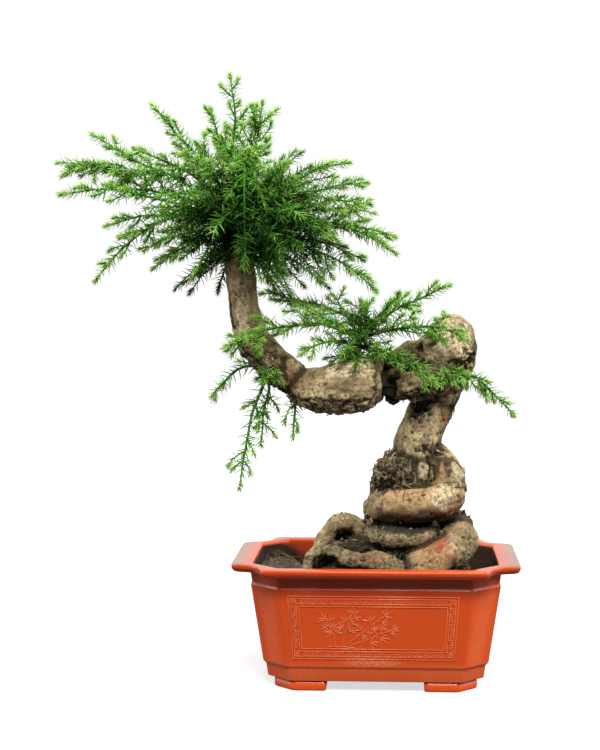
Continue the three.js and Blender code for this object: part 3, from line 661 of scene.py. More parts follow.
def growTrunk():
    tubes = [limbTube(rows) for rows in [*limbs.values(), bark["stump"]]]
    mesh = remeshed("trunk_skin", merged(tubes), bark["voxel"])
    points = pointsOf(mesh)
    measured = LimbField(limbs)
    # Drawn on to the soft union of the limbs: -k log Σ exp(-distance / k) = 0
    for _ in range(2):
        normals = normalsOf(mesh)
        distances, _ = measured.measure(points)
        union = -bark["blend"] * np.log(np.exp(-distances / bark["blend"]).sum(1))
        inSoil = points[:, 2] < bark["soilLine"]
        points -= normals * np.where(inSoil, 0, np.clip(union, -bark["pull"], bark["pull"]))[:, None]
        setPoints(mesh, points)
        mesh.update()
    normals = normalsOf(mesh)
    distances, nearest = measured.measure(points)
    share = np.exp(-(distances - distances.min(1, keepdims=True)) / bark["mingle"])
    share /= share.sum(1, keepdims=True)
    finish = share @ np.array([bark["finish"][name] for name in measured.names])
    fields = dict(zip(("flaky", "crust", "warm", "dark"), finish.T))
    fields["pale"] = np.zeros(len(points))
    fields["rust"] = np.zeros(len(points))
    # A patch has a ragged edge: its place is stirred by up to 3 mm, less for a narrow one
    swirl = np.stack([noise(points, 5, 300 + k) for k in range(3)], 1)
    for name, rows in bark["patches"].items():
        for row in rows:
            centre, half, amount = row[:3], row[3:6], row[6]
            ragged = points + min(3.0, 0.9 * min(half)) * swirl
            fields[name] = fields[name] + amount * ellipsoid(ragged, centre, half)
    # Undersides are flakier, and painted shade darkens them low down
    under = smooth(0.05, 0.7, -normals[:, 2])
    high = smooth(225, 245, points[:, 2])
    fields["flaky"] += under * (0.3 + 0.5 * high)
    fields["dark"] += smooth(-0.1, 0.7, -normals[:, 2]) * 0.5 * (1 - high)

    # Place along and round the limb, stretched so that bark runs along it; upright on the scars
    reach = points - measured.centres[nearest]
    around = (reach * measured.side[nearest]).sum(1)
    across = (reach * measured.up[nearest]).sum(1)
    along = measured.runs[nearest] + 400 * np.searchsorted(measured.starts, nearest, side="right")
    grain = np.stack([along / 2.4, around, across], 1)
    upright = np.isin(nearest, measured.samplesOf("scar", "shoulder"))[:, None]
    grain = np.where(upright, points[:, [2, 0, 1]] / (2.0, 1, 1), grain)
    # Torn bark ends in a ragged line against the smooth skin, which stands higher
    torn = smooth(0.44, 0.56, fields["flaky"] + 0.28 * layered(points, 11, 41, 3))
    cleft = np.zeros(len(points))
    for centre, half, amount in bark["clefts"]:
        cleft += amount * ellipsoid(points, centre, half)
    calm = 1 - smooth(1.0, 3.5, -cleft)
    torn *= calm
    # The crust has worn off in places
    wornOff = smooth(0.1, 0.45, layered(points, 15, 61, 3))
    crust = np.clip(fields["crust"], 0, 1) * (1 - 0.8 * wornOff)
    # A crease where the second nearest limb is near too
    second = np.sort(distances, axis=1)[:, 1]
    crease = 1 - smooth(0.5, 5.0, second)
    for centre, half in bark["grownOver"]:
        crease *= 1 - ellipsoid(points, centre, half)
    # Plates of torn bark: each has a height of its own and leans along and across the grain
    gap, number, way = plates(grain + 1.6 * noise(points, 6, 44)[:, None], bark["plateSize"], 3)
    cracks = 1 - smooth(0.03, 0.22, gap)
    rows = 1.3 * number + 1.7 * way[:, 0] * np.sign(number) + 0.9 * way[:, 1]
    lines = 1 - smooth(0.02, 0.16, np.abs(layered(grain, 9.0, 11, 3)))
    pits = smooth(0.5, 0.7, noise(points, 2.4, 21)) * smooth(-0.2, 0.3, noise(points, 15, 22))
    pebbles = np.abs(noise(points, 5.2, 31)) + 0.6 * np.abs(noise(points, 2.7, 32))
    rise = bark["relief"]
    tornGrain, smoothGrain = layered(grain, 3.0, 8, 2), layered(grain, 4.0, 9, 3)
    relief = torn * (rise["rows"] * rows + rise["tornGrain"] * tornGrain + rise["cracks"] * cracks)
    relief += (1 - torn) * (rise["smoothGrain"] * smoothGrain + rise["lines"] * lines * (1 - crust))
    crustGrain = rise["crustGrain"] * layered(points, 3.2, 33, 2)
    relief += crust * (rise["pebbles"] * pebbles + crustGrain + rise["crustDrop"])
    relief += pits * rise["pits"] * (1 - crust) + rise["crease"] * crease
    relief *= calm
    height = relief + rise["swell"] * layered(points, 21, 5, 2)
    height += rise["smoothSwell"] * (1 - crust) * layered(points, 8, 6, 2)
    height += rise["smoothRise"] + rise["tornDrop"] * torn + cleft
    for centre, half, amount in bark["carvings"]:
        height += amount * block(points, centre, half)
    points += normals * height[:, None]
    # Painted shade in cracks, lines, pits, creases and low relief, and a painted highlight where the
    # relief stands high
    lowPlates = 1 - smooth(-1.6, 0.1, rows)
    fields["hollow"] = np.clip(
        torn * (0.85 * cracks + 0.25 * lowPlates) + 0.4 * lines * (1 - torn) * (1 - crust)
        + pits * (1 - crust) + 0.9 * crease + 0.45 * smooth(0.3, 1.6, -relief), 0, 1)
    fields["pale"] = fields["pale"] + 0.45 * smooth(0.35, 1.3, relief)
    fields["flaky"], fields["crust"] = torn, crust
    setPoints(mesh, points)
    for name, values in fields.items():
        setField(mesh, name, np.clip(values, 0, 1))
    mesh.polygons.foreach_set("use_smooth", np.ones(len(mesh.polygons), bool))
    mesh.update()
    skin = {"points": points, "normals": normalsOf(mesh), "torn": torn, "crust": crust,
            "along": measured.tangents[nearest], "dark": np.clip(fields["dark"], 0, 1)}
    return mesh, skin


def growChips(skin, kind):
    # Six-cornered plates a little curled, most along the grain: flakes on the torn bark, or shreds on
    # the scars. A corner stands at lift · (u + 1) + curl · v² - sunk above the skin
    random = np.random.default_rng(17)
    number, halfWidth, stretch, stray, stands = bark[kind]
    points = skin["points"]
    scars = sum(amount * ellipsoid(points, centre, half) for centre, half, amount in bark["shredded"])
    grain = skin["along"]
    if kind == "chips":
        weight = skin["torn"] * (points[:, 2] > bark["chipsAbove"])
        weight = weight * (1 - 0.7 * skin["crust"]) * (1 - 0.8 * np.minimum(scars, 1))
    else:  # upright, and not on the back
        weight = scars * (1 - ellipsoid(points, *bark["slab"])) * (skin["normals"][:, 1] < 0.4)
        grain = np.zeros_like(points) + (0.15, 0, 1)
    picks = random.choice(len(weight), number, p=weight / weight.sum())
    count = len(picks)
    normal = skin["normals"][picks]
    along = unit(grain[picks] + random.normal(0, stray, (count, 3)))
    along = unit(along - (along * normal).sum(1, keepdims=True) * normal)
    along *= random.choice([-1, 1], count)[:, None]
    across = np.cross(normal, along)
    angle = np.arange(6) * np.pi / 3 + random.normal(0, 0.22, (count, 6))
    ragged = random.uniform(0.6, 1.15, (count, 6))
    u, v = np.cos(angle) * ragged, np.sin(angle) * ragged
    size = random.uniform(*halfWidth, (count, 1))
    long = size * random.uniform(*stretch, (count, 1))
    lift = random.uniform(*stands, (count, 1)) * long
    stand = lift * (u + 1) + bark["curl"] * size * v ** 2 - bark["sunk"]
    flat = (points[picks][:, None] + along[:, None] * (u * long)[..., None]
            + across[:, None] * (v * size)[..., None])
    top = flat + normal[:, None] * stand[..., None]
    bottom = top - normal[:, None] * bark["thickness"]
    corners = np.concatenate([top, bottom], 1)
    a = np.arange(6)
    b = (a + 1) % 6
    walls = np.stack([b, a, a + 6, b + 6], 1)
    caps = np.array([[0, 1, 2, 3, 4, 5], [11, 10, 9, 8, 7, 6]])
    offset = (np.arange(count) * 12)[:, None, None]
    # Chips are darker where the skin has painted shade
    tint = np.repeat(random.random(count) ** 1.4 * (1 - 0.75 * skin["dark"][picks]), 12)
    faces = [(walls + offset).reshape(-1, 4), (caps + offset).reshape(-1, 6)]
    return corners.reshape(-1, 3), faces, {"tint": tint}


def barkMaterial():
    material, tree, shader = newMaterial("weathered bark")
    shades = bark["shades"]
    spots = addSpeckle(tree, *bark["speckle"])
    broad, fine = spots["Broad"], spots["Fine"]
    colour = mixColour(tree, broad, shades["grey"], shades["tan"])
    # Pale bark, with painted highlights on high relief and on faces in shade
    colour = tinted(tree, colour, "pale", fine, shades["paleTan"])
    colour = tinted(tree, colour, "warm", spread(tree, broad, 0.0, 1.0, 0.55, 1.0), shades["salmon"])
    colour = mixColour(tree, spread(tree, broad, 0.25, 0.7, 0.35, 0.0), colour, shades["stain"])
    colour = tinted(tree, colour, "rust", spread(tree, fine, 0.0, 1.0, 0.45, 1.0), shades["brick"])
    grit = mixColour(tree, fine, shades["darkGrit"], shades["paleGrit"])
    colour = tinted(tree, colour, "crust", 0.8, grit)
    # Flaky bark is browner with dark flecks, but not where it is pale
    bare = math2(tree, "SUBTRACT", 1.0, times(tree, field(tree, "pale"), 0.8))
    rough = times(tree, field(tree, "flaky"), bare)
    colour = mixColour(tree, times(tree, rough, 0.5), colour, shades["flake"])
    fleck = times(tree, rough, spread(tree, fine, 0.25, 0.55, 0.55, 0.0))
    colour = mixColour(tree, fleck, colour, shades["umber"])
    colour = mixColour(tree, spread(tree, fine, 0.05, 0.45, 0.45, 0.0), colour, shades["grain"])
    crackled = times(tree, spots["Cracks"], spread(tree, broad, 0.62, 0.85, 0.0, 0.5))
    colour = mixColour(tree, crackled, colour, shades["crack"])
    # Painted shade on undersides, in grooves, clefts, cracks, pits and creases, with some darker bark
    colour = tinted(tree, colour, "dark", 0.92, shades["umber"])
    colour = tinted(tree, colour, "hollow", 0.88, shades["umber"])
    finish(tree, shader, colour, spread(tree, fine, 0.0, 1.0, 0.72, 0.92), 0.25)
    uneven = largest(tree, field(tree, "flaky"), field(tree, "crust"))
    uneven = spread(tree, uneven, 0.0, 1.0, 0.35, 1.0)
    addBump(tree, shader, times(tree, spots["Height"], uneven), 0.8, 0.0018)
    return material


def litterMaterial(name, dark, pale):
    material, tree, shader = newMaterial(name)
    spots = addSpeckle(tree, 200.0, 900.0, 500.0)
    colour = mixColour(tree, field(tree, "tint"), dark, pale)
    colour = mixColour(tree, spread(tree, spots["Fine"], 0.4, 0.9, 0.0, 0.5), colour, dark)
    finish(tree, shader, colour, 0.95)
    addBump(tree, shader, spots["Height"], 0.5, 0.0005)
    return material


print("growing the trunk")
trunkMesh, trunkSkin = growTrunk()
piece("trunk_bark", trunkMesh, barkMaterial(), ["trunk"])
chipFinish = litterMaterial("loose flakes", *bark["chipBrowns"])
flakes = merged([growChips(trunkSkin, "chips"), growChips(trunkSkin, "shreds")])
piece("trunk_chips", meshOf("trunk_chips", flakes), chipFinish)


# Pot

pot = {
    "rimLength": 252, "rimWidth": 180, "height": 109, "rimThickness": 7,
    "notch": [(0, 30), (18.5, 27), (24, 20), (27, 9), (29, 0)],  # in from the rim's end and front
    # z, half length, half width, cut corner
    "wall": [
        (9, 94.5, 68.5, 20), (20, 96, 70, 20.4), (22.5, 98.5, 71.5, 21),
        (90.5, 109, 78.2, 25.6), (92, 107.9, 77.1, 25), (102, 109.4, 78.4, 26),
    ],
    "inside": [
        (12, 92.2, 66.2, 18.6), (25, 96.2, 69.2, 19.4), (91.5, 104.6, 74.2, 23),
        (93, 105.6, 75.2, 23.6), (96.5, 105.9, 75.4, 23.8), (100, 106.3, 75.7, 24),
        (103, 106.6, 75.9, 24.2), (105.5, 106.8, 76.1, 24.4), (107.6, 107, 76.2, 24.5),
        (109, 107.8, 77, 24.8),
    ],
    "points": (16, 56, 90),  # round a corner, along an end and along the front
    # How far the edge at each level is rounded, from the floor up the wall, over the rim and down
    "edges": [0, 0.5, 0.7, 0.6, 0.7, 0.6, 0.8, 1.0, 0.9, 1.4, 0.9, 0, 0, 0, 0, 0, 0.6, 0.6, 1.0, 0],
    "floor": (9.05, 11.95), "floorIn": 1.2,  # its faces, and how far its edge lies inside the wall's
    "drain": (6, 90),  # the holes' radius and how far apart they are
    "foot": (88.5, 67, 16.5, 46, 30),  # half length, half width, cut, along, across
    # A foot's levels: z, how far its edge is drawn in, and how worn it is
    "footLevels": [(0.0, 1.6, 0.6), (0.25, 0.7, 0.9), (0.9, 0.15, 0.3), (2.0, 0, 0), (10.0, 0, 0)],
    "footReach": 26, "footPoints": 90,  # half across a foot, and points round it
    "panel": (73.5, 29, 85.5), "endPanel": 36,  # half length, low, high; half length on the ends
    "panelTaper": 3.4, "panelShift": -1.5,  # narrower at the bottom, and off the middle
    "frames": (0.5, 2.6, 7.2, 9.4), "band": 4.9,  # how far in each line and the fret's middle lie
    "line": (0.42, 0.6), "endLine": (0.65, 0.8),  # half width and height of the raised lines
    "fret": (4.7, 3.1, 0.3, 0.36),  # pitch, height, half width and height of its line
    "squares": (1.7, 0.6), "squareLine": 0.4,  # half sizes of a corner's squares, line's half width
    "wallRings": 18, "insideRings": 22,  # up the outer wall, and of the inside below the rim
    "reds": ((0.54, 0.056, 0.006), (0.60, 0.068, 0.009)), "chalk": (0.72, 0.20, 0.085),
    # Grey for dust and a painted reflection on the rim's ends, dark red for painted shadow under the
    # rim, dark brown for painted shade and soil stain inside
    "dustSheenGrey": (0.16, 0.165, 0.116), "shadeRed": (0.20, 0.010, 0.001), "shadeStainBrown": (0.014, 0.007, 0.003),
}


def faceOut(part):
    # Turned inside out where the volume from the faces' corners, Σ (a × b) · c / 6, is negative
    points, sets, fields = part
    volume = 0.0
    for one in sets:
        for k in range(1, one.shape[1] - 1):
            a, b, c = points[one[:, 0]], points[one[:, k]], points[one[:, k + 1]]
            volume += (np.cross(a, b) * c).sum()
    return part if volume > 0 else (points, [one[:, ::-1] for one in sets], fields)


def atHeight(ring, z):
    return np.column_stack([ring, np.full(len(ring), float(z))])


def outline(halfLength, halfWidth, corner, z, passes):
    # Once round from above: each corner runs along its points, the straights are cut evenly, and the
    # whole is softened
    around, end, front = pot["points"]
    t = np.linspace(0, len(corner) - 1, around)
    inwards = sampled(t, range(len(corner)), np.array(corner, float))
    pieces = []
    for quarter, (sx, sy) in enumerate([(1, -1), (1, 1), (-1, 1), (-1, -1)]):
        points = (np.array([halfLength, halfWidth]) - inwards) * (sx, sy)
        pieces.append(points[::-1] if quarter % 2 == 0 else points)
    ring = []
    for quarter in range(4):
        ring.append(pieces[quarter])
        count = end if quarter % 2 == 0 else front
        share = np.linspace(0, 1, count + 2)[1:-1, None]
        ring.append(pieces[quarter][-1] * (1 - share) + pieces[(quarter + 1) % 4][0] * share)
    return atHeight(softened(np.vstack(ring), passes), z)


def wallRing(level, inset=0.0):
    z, length, width, cut = level
    cut -= 0.586 * inset  # 2 - √2, which keeps the cut corner as far in as the sides
    return outline(length - inset, width - inset, [(0, cut), (cut, 0)], z, 1)


def rimRing(z, inset=0.0):
    length, width = pot["rimLength"] / 2 - inset, pot["rimWidth"] / 2 - inset
    return outline(length, width, pot["notch"], z, 6)


def rounded(rings, radii, steps=4):
    # Each ring with a radius is replaced by the arc (1-t)² P + 2t(1-t) ring + t² Q. P and Q lie that
    # far towards the ring before it and the ring after it
    result, worn = [rings[0]], [0.0]
    for k in range(1, len(rings) - 1):
        if not radii[k]:
            result.append(rings[k])
            worn.append(0.0)
            continue
        ends = []
        for other in (rings[k - 1], rings[k + 1]):
            gap = np.linalg.norm(other - rings[k], axis=1, keepdims=True)
            share = np.minimum(radii[k] / np.maximum(gap, 1e-6), 0.48)
            ends.append(rings[k] + (other - rings[k]) * share)
        for t in np.linspace(0, 1, steps):
            result.append((1 - t) ** 2 * ends[0] + 2 * t * (1 - t) * rings[k] + t ** 2 * ends[1])
            worn.append(1.0)
    return np.array(result + [rings[-1]]), np.array(worn + [0.0])


def potShell():
    under = pot["height"] - pot["rimThickness"]
    # One closed skin: under the wall, up it, over the rim and down the inside to the floor
    rings = [wallRing(pot["wall"][0], 2.0)] + [wallRing(level) for level in pot["wall"]]
    rings += [rimRing(under, 1.9), rimRing(under + 3.4), rimRing(pot["height"], 0.2)]
    rings += [wallRing(level) for level in reversed(pot["inside"])]
    radii = list(pot["edges"])
    share = np.linspace(0, 1, pot["wallRings"] + 2)[1:-1]
    rings[4:4] = [rings[3] + (rings[4] - rings[3]) * t for t in share]
    radii[4:4] = [0] * len(share)
    rings, worn = rounded(rings, radii)
    part = faceOut(loft(rings, True))
    fields = part[2]
    x, y, z = part[0].T
    inner = np.zeros(len(part[0]))
    inner[rings.shape[1] * (len(rings) - pot["insideRings"]):] = 1
    fields["worn"] = np.repeat(worn, rings.shape[1])
    fields["worn"] *= 1 - 0.9 * inner
    fields["worn"] *= 1 - 0.6 * smooth(101, 103, z)
    # Painted shade, partly soil stain, darkens the inside, most of all low down, in the corner behind
    # and at both ends
    brim = 1 - smooth(105.6, 107.5, z)
    lowDark = brim * (1 - smooth(84, 110, z + 5 * layered(part[0], 16, 51) - 0.3 * np.maximum(x, 0)))
    corner = smooth(70, 90, -x) * smooth(18, 40, y) * (1 - smooth(103, 108, z))
    ends = brim * (0.9 * smooth(55, 82, x) + 0.7 * smooth(84, 98, -x))
    fields["stained"] = inner * np.clip(0.1 * brim + lowDark + 0.75 * corner + ends, 0, 0.985)
    # Dust and a painted pale reflection on the ends of the rim
    fields["dusty"] = (1 - inner) * smooth(108.3, 108.9, z) * smooth(92, 112, np.abs(x))
    # Painted shadow under the rim and painted shade on its edge, and a painted pale sheen on the cut
    # corners
    outside = (1 - inner) * (z < 101.9)
    rimEdge = (1 - inner) * smooth(101.9, 102.4, z) * (1 - smooth(106.5, 108, z))
    fields["grimy"] = outside * smooth(78, 93, z + 1.5 * layered(part[0], 20, 52, 2)) + 0.8 * rimEdge
    cornerX = smooth(86, 94, np.abs(x) + 0.16 * (91 - z))
    fields["bloom"] = outside * cornerX * smooth(54, 60, np.abs(y))
    # A chalky patch below the front panel
    away = np.hypot((x + 3) / 31, (z - 27) / 5.5)
    fields["chalky"] = (1 - smooth(0.4, 1.1, away)) * (y < -60)
    return part


def potFloor(side):
    # Half of the floor, round a drain hole. Its four rings go from the hole's lower edge out to the
    # floor's edge, up, and back to the hole's upper edge
    _, length, width, cut = pot["wall"][0]
    length, width = length - pot["floorIn"], width - pot["floorIn"]
    corners = np.array([
        (0, -width), (length - cut, -width), (length, cut - width),
        (length, width - cut), (length - cut, width), (0, width),
    ]) * (side, 1)
    steps = np.linspace(0, 1, 8, endpoint=False)[:, None]
    edge = np.concatenate([a + (b - a) * steps for a, b in zip(corners, np.roll(corners, -1, 0))])
    radius, apart = pot["drain"]
    middle = np.array([side * apart / 2, 0])
    hole = middle + radius * unit(edge - middle)
    low, high = pot["floor"]
    rings = [atHeight(*ring) for ring in ((hole, low), (edge, low), (edge, high), (hole, high))]
    return faceOut(loft(rings, True))


def potFoot(sx, sy):
    # A wedge under one corner, seen from above as a rectangle with its outer corner cut off
    length, width, cut, along, across = pot["foot"]
    corners = np.array([
        (length - along, width - across), (length - along, width), (length - cut, width),
        (length, width - cut), (length, width - across),
    ]) * (sx, sy)
    closed = np.vstack([corners, corners[:1]])
    run = runOf(closed)
    even = np.linspace(0, run[-1], pot["footPoints"], endpoint=False)
    ring = softened(sampled(even, run, closed), 2)
    middle = ring.mean(0)
    rings = [atHeight(middle + (ring - middle) * (1 - draw / pot["footReach"]), z)
             for z, draw, _ in pot["footLevels"]]
    part = faceOut(loft(rings))
    worn = [level[2] for level in pot["footLevels"]]
    part[2]["worn"] = np.append(np.repeat(worn, len(ring)), [0.5, 0])
    return part


def onWall(turn, across, z, out):
    # A place on the leaning wall that faces the turn: across along the wall, z up, out from its face
    column = 2 if turn % 180 == 0 else 1
    foot, brim = pot["wall"][2], pot["wall"][3]
    lean = math.atan((brim[column] - foot[column]) / (brim[0] - foot[0]))
    reach = foot[column] + (z - foot[0]) * math.tan(lean) + out * math.cos(lean)
    if turn % 180 == 0:
        halfLength, low, high = pot["panel"]
        narrower = 1 - pot["panelTaper"] * (high - z) / (high - low) / halfLength
        across = across * narrower + pot["panelShift"]
    x, y, zed = across, -reach, z - out * math.sin(lean)
    c, s = math.cos(math.radians(turn)), math.sin(math.radians(turn))
    return np.stack([c * x - s * y, s * x + c * y, zed], -1)


def strip(turn, path, halfWidths, height, closed=False):
    # A raised line: at each point of the path, a low rounded section stands square to it, and a
    # corner's section is widened by 1 / cos of half its angle
    path = np.asarray(path, float)
    steps = np.diff(path, axis=0)
    if closed:
        before, after = path - np.roll(path, 1, 0), np.roll(path, -1, 0) - path
    else:
        before, after = np.vstack([steps[:1], steps]), np.vstack([steps, steps[-1:]])
    before, after = unit(before), unit(after)
    middle = unit(before + after)
    widen = 1 / np.maximum((middle * after).sum(1), 0.35)
    square = np.stack([-middle[:, 1], middle[:, 0]], 1) * widen[:, None]
    section = np.array([(-1.3, -0.5), (-0.85, 0.62), (-0.3, 1), (0.3, 1), (0.85, 0.62), (1.3, -0.5)])
    halfWidths = np.broadcast_to(halfWidths, len(path))
    spots = path[:, None] + square[:, None] * (section[:, 0] * halfWidths[:, None])[:, :, None]
    out = np.broadcast_to(section[:, 1] * height, spots.shape[:2])
    part = faceOut(loft(onWall(turn, spots[..., 0], spots[..., 1], out), closed))
    part[2]["worn"] = np.tile([0.3, 0.9, 1, 1, 0.9, 0.3], len(path))
    if not closed:
        part[2]["worn"] = np.append(part[2]["worn"], [0.5, 0.5])
    return part


def rectangle(halfLength, low, high):
    return [(-halfLength, low), (halfLength, low), (halfLength, high), (-halfLength, high)]


def fretBand(turn):
    # Hooks of a key pattern between the panel's lines, turned over at every other step, and two
    # squares in each corner
    halfLength, low, high = pot["panel"]
    pitch, tall, halfWidth, height = pot["fret"]
    band, inner = pot["band"], pot["frames"][-1]
    hook = np.array([(0.05, 0), (0.82, 0), (0.82, 1), (0.12, 1), (0.12, 0.42), (0.5, 0.42)])
    hook = hook - (0.45, 0.5)
    parts = []
    across = np.arange(-halfLength + inner + pitch / 2, halfLength - inner, pitch)
    across += (halfLength - inner - across[-1] - pitch / 2) / 2
    upwards = np.arange(low + inner + pitch / 2, high - inner, pitch)
    upwards += (high - inner - upwards[-1] - pitch / 2) / 2
    for z in (low + band, high - band):
        for k, x in enumerate(across):
            level = hook * (pitch, tall * (1 if k % 2 else -1)) + (x, z)
            parts.append(strip(turn, level, halfWidth, height))
    for x in (-halfLength + band, halfLength - band):
        for k, z in enumerate(upwards):
            upright = hook[:, ::-1] * (tall * (1 if k % 2 else -1), pitch) + (x, z)
            parts.append(strip(turn, upright, halfWidth, height))
        for z in (low + band, high - band):
            for half in pot["squares"]:
                square = np.array(rectangle(half, -half, half)) + (x, z)
                parts.append(strip(turn, square, pot["squareLine"], height, True))
    return parts


sprig = {  # bamboo in low relief, in its own layout: stalks as start, bend and end
    "stalks": [
        ((-34, 41), (-33, 52), (-41, 63)), ((-27, 41), (-26, 56), (-19, 69)),
        ((-24, 41), (-12, 53), (10, 68)), ((-22, 41), (-4, 47), (19, 57)),
    ],
    "clusters": 6, "leaves": 4, "leafLength": (6.0, 10.0), "leafHalfWidth": 0.66, "height": 0.46,
    "ground": [((-42, 40), (-31, 42), (-16, 39.5)), ((-38, 38.4), (-28, 39.8), (-20, 38.4))],
    # Half width and height of the lines
    "groundLine": (0.35, 0.5), "stalkLine": (0.38, 0.55), "twigLine": (0.25, 0.45),
}


def bambooSprig(turn, seed):
    # Stalks are quadratic curves; a leaf's half width at a share u of its length is w sin(π u^0.6)
    random = np.random.default_rng(seed)
    u = np.linspace(0.02, 0.98, 7)
    t = np.linspace(0, 1, 14)
    ground = [bezier(*np.array(line, float), t) for line in sprig["ground"]]
    parts = [strip(turn, line, *sprig["groundLine"]) for line in ground]
    for stalk in sprig["stalks"]:
        line = bezier(*np.array(stalk, float), t)
        parts.append(strip(turn, line, *sprig["stalkLine"]))
        for k in range(sprig["clusters"]):
            spot = int((0.3 + 0.7 * (k + 1) / sprig["clusters"]) * 13)
            way = line[spot] - line[spot - 1]
            # The last cluster ends the stalk, the others turn left and right of it
            turned = random.uniform(0.5, 1.1) * (1 if k % 2 else -1) * (k < sprig["clusters"] - 1)
            heading = math.atan2(way[1], way[0]) + turned
            end = line[spot] + np.array([math.cos(heading), math.sin(heading)]) * random.uniform(2, 5)
            twig = [line[spot], (line[spot] + end) / 2 + (0, 0.4), end]
            parts.append(strip(turn, twig, *sprig["twigLine"]))
            for leaf in range(sprig["leaves"]):
                angle = heading + (leaf - 1) * random.uniform(0.5, 0.75)
                long = random.uniform(*sprig["leafLength"])
                blade = end + long * u[:, None] * (math.cos(angle), math.sin(angle))
                blade = blade - (u ** 2)[:, None] * (0, 0.14 * long)
                half = sprig["leafHalfWidth"] * np.maximum(np.sin(np.pi * u ** 0.6), 0.12)
                parts.append(strip(turn, blade, half, sprig["height"]))
    return parts


def growPot():
    halfLength, low, high = pot["panel"]
    halfWidth, height = pot["line"]
    thick, tall = pot["endLine"]
    parts = [potShell()] + [potFloor(side) for side in (1, -1)]
    parts += [potFoot(sx, sy) for sx in (1, -1) for sy in (1, -1)]
    relief = []
    for turn in (0, 180):
        for inset in pot["frames"]:
            frameLine = rectangle(halfLength - inset, low + inset, high - inset)
            relief.append(strip(turn, frameLine, halfWidth, height, True))
        relief += fretBand(turn) + bambooSprig(turn, 40 + turn)
    for turn in (90, 270):
        frameLine = rectangle(pot["endPanel"] - thick, low + thick, high - thick)
        relief.append(strip(turn, frameLine, thick, tall, True))
    for part in relief:
        part[2]["raised"] = part[2]["worn"]
    return merged(parts + relief)


def potMaterial():
    material, tree, shader = newMaterial("orange red plastic")
    spots = addSpeckle(tree, 9.0, 500.0, 120.0)
    broad, fine = spots["Broad"], spots["Fine"]
    colour = mixColour(tree, broad, *pot["reds"])
    # Chalky wear on edges, raised lines and the patch below the panel, and a painted pale sheen on
    # the cut corners
    raised = times(tree, field(tree, "raised"), spread(tree, broad, 0.1, 0.9, 0.25, 0.55))
    chalk = times(tree, field(tree, "worn"), spread(tree, broad, 0.2, 1.0, 0.05, 0.3))
    smear = times(tree, field(tree, "chalky"), spread(tree, fine, 0.3, 0.7, 0.5, 1.0))
    chalk = largest(tree, chalk, raised, smear, times(tree, field(tree, "bloom"), 0.28))
    chalk = times(tree, chalk, spread(tree, fine, 0.2, 0.8, 0.6, 1.0))
    colour = mixColour(tree, chalk, colour, pot["chalk"])
    # Dust and a painted pale reflection on the rim's ends
    colour = tinted(tree, colour, "dusty", 0.85, pot["dustSheenGrey"])
    # Painted shadow under the rim and painted shade on its edge
    colour = tinted(tree, colour, "grimy", 0.6, pot["shadeRed"])
    # Painted shade, partly soil stain, on the inside
    stained = field(tree, "stained")
    colour = mixColour(tree, stained, colour, pot["shadeStainBrown"])
    rough = largest(tree, spread(tree, broad, 0.0, 1.0, 0.14, 0.22), stained)
    finish(tree, shader, colour, rough, 0.3)
    addBump(tree, shader, fine, 0.05, 0.0001)
    return material


print("moulding the pot")
piece("pot_moulding", meshOf("pot_moulding", growPot()), potMaterial(), ["pot"])


# Soil

soil = {
    "top": 83, "fall": (0.03, 0.045),  # height, and slope to the right and to the back
    "crumb": 0.9,  # height of the ripple
    "mound": (24, -4, 13, 62),  # x, y, rise, radius
    "hills": [(-26, -12, 22, 30, 26), (-90, 6, 16, 26, 58)],  # x, y, rise, half length, half width
    "skirt": [(12.4, 0.885), (25, 0.925), (60, 0.965)],  # height and share of the outline at the top
    "rings": 64, "around": 260,
    "lumps": (1.6, 1.1, -0.8),  # height of the broad and the small ones, and how far they are sunk
    "crumbs": 1900, "rootCrumbs": 1500, "crumbSize": (0.5, 1.7),
    "crustedRoots": (88, 152),  # the heights between which crumbs lie on roots
    "straws": 48, "strawLength": (8, 26), "strawRadius": (0.2, 0.38),
    "strawHeap": ((-84, 0), (11, 28)),  # where they lie, and how far they stray in x and y
    "browns": ((0.018, 0.014, 0.009), (0.075, 0.055, 0.030)), "paleGrain": (0.16, 0.13, 0.075),
    # Dark brown for painted shade
    "shadeBrown": (0.010, 0.008, 0.006),
    "crumbBrowns": ((0.02, 0.016, 0.010), (0.30, 0.25, 0.15)),
    "strawBrowns": ((0.040, 0.030, 0.012), (0.24, 0.19, 0.09)),
}


def soilTop(x, y):
    # A mound exp(-1.6 d²) round the roots, two hills exp(-u² - v²) and a crumbly ripple
    moundX, moundY, rise, radius = soil["mound"]
    away = np.hypot((x - moundX) * 0.8, y - moundY) / radius
    z = soil["top"] + rise * np.exp(-1.6 * away ** 2) - soil["fall"][0] * x - soil["fall"][1] * y
    for hillX, hillY, height, halfLength, halfWidth in soil["hills"]:
        z = z + height * np.exp(-(((x - hillX) / halfLength) ** 2) - ((y - hillY) / halfWidth) ** 2)
    ripple = np.sin(x * 0.19 + 1.3) * np.cos(y * 0.23) + 0.7 * np.sin(x * 0.41 - y * 0.37)
    return z + soil["crumb"] * ripple


def insideOutline(inset):
    # The inner wall's outline at the height of the soil
    low, high = pot["inside"][1], pot["inside"][2]
    share = (soil["top"] - low[0]) / (high[0] - low[0])
    return wallRing(tuple(a + (b - a) * share for a, b in zip(low, high)), inset)


def growSoil():
    # Rings shrink from the wall to the middle, s · outline, at the soil's height; a skirt goes down.
    # Lumps are lower next to the wall
    edge = insideOutline(0.35)
    picks = np.linspace(0, len(edge), soil["around"], endpoint=False).astype(int)
    edge = edge[picks]
    broad, small, drop = soil["lumps"]
    rings = [atHeight(edge[:, :2] * share, z) for z, share in soil["skirt"]]
    for share in np.linspace(1, 0.02, soil["rings"]):
        flat = edge[:, :2] * share
        level = np.column_stack([flat, soilTop(flat[:, 0], flat[:, 1])])
        lumps = broad * layered(level, 9, 71) + small * np.abs(noise(level, 3.1, 72))
        level[:, 2] += (lumps + drop) * min(1, (1 - share) * 12 + 0.25)
        rings.append(level)
    part = faceOut(loft(rings))
    # Painted shade, darker towards the right
    part[2]["wet"] = smooth(-40, 90, part[0][:, 0])
    return part


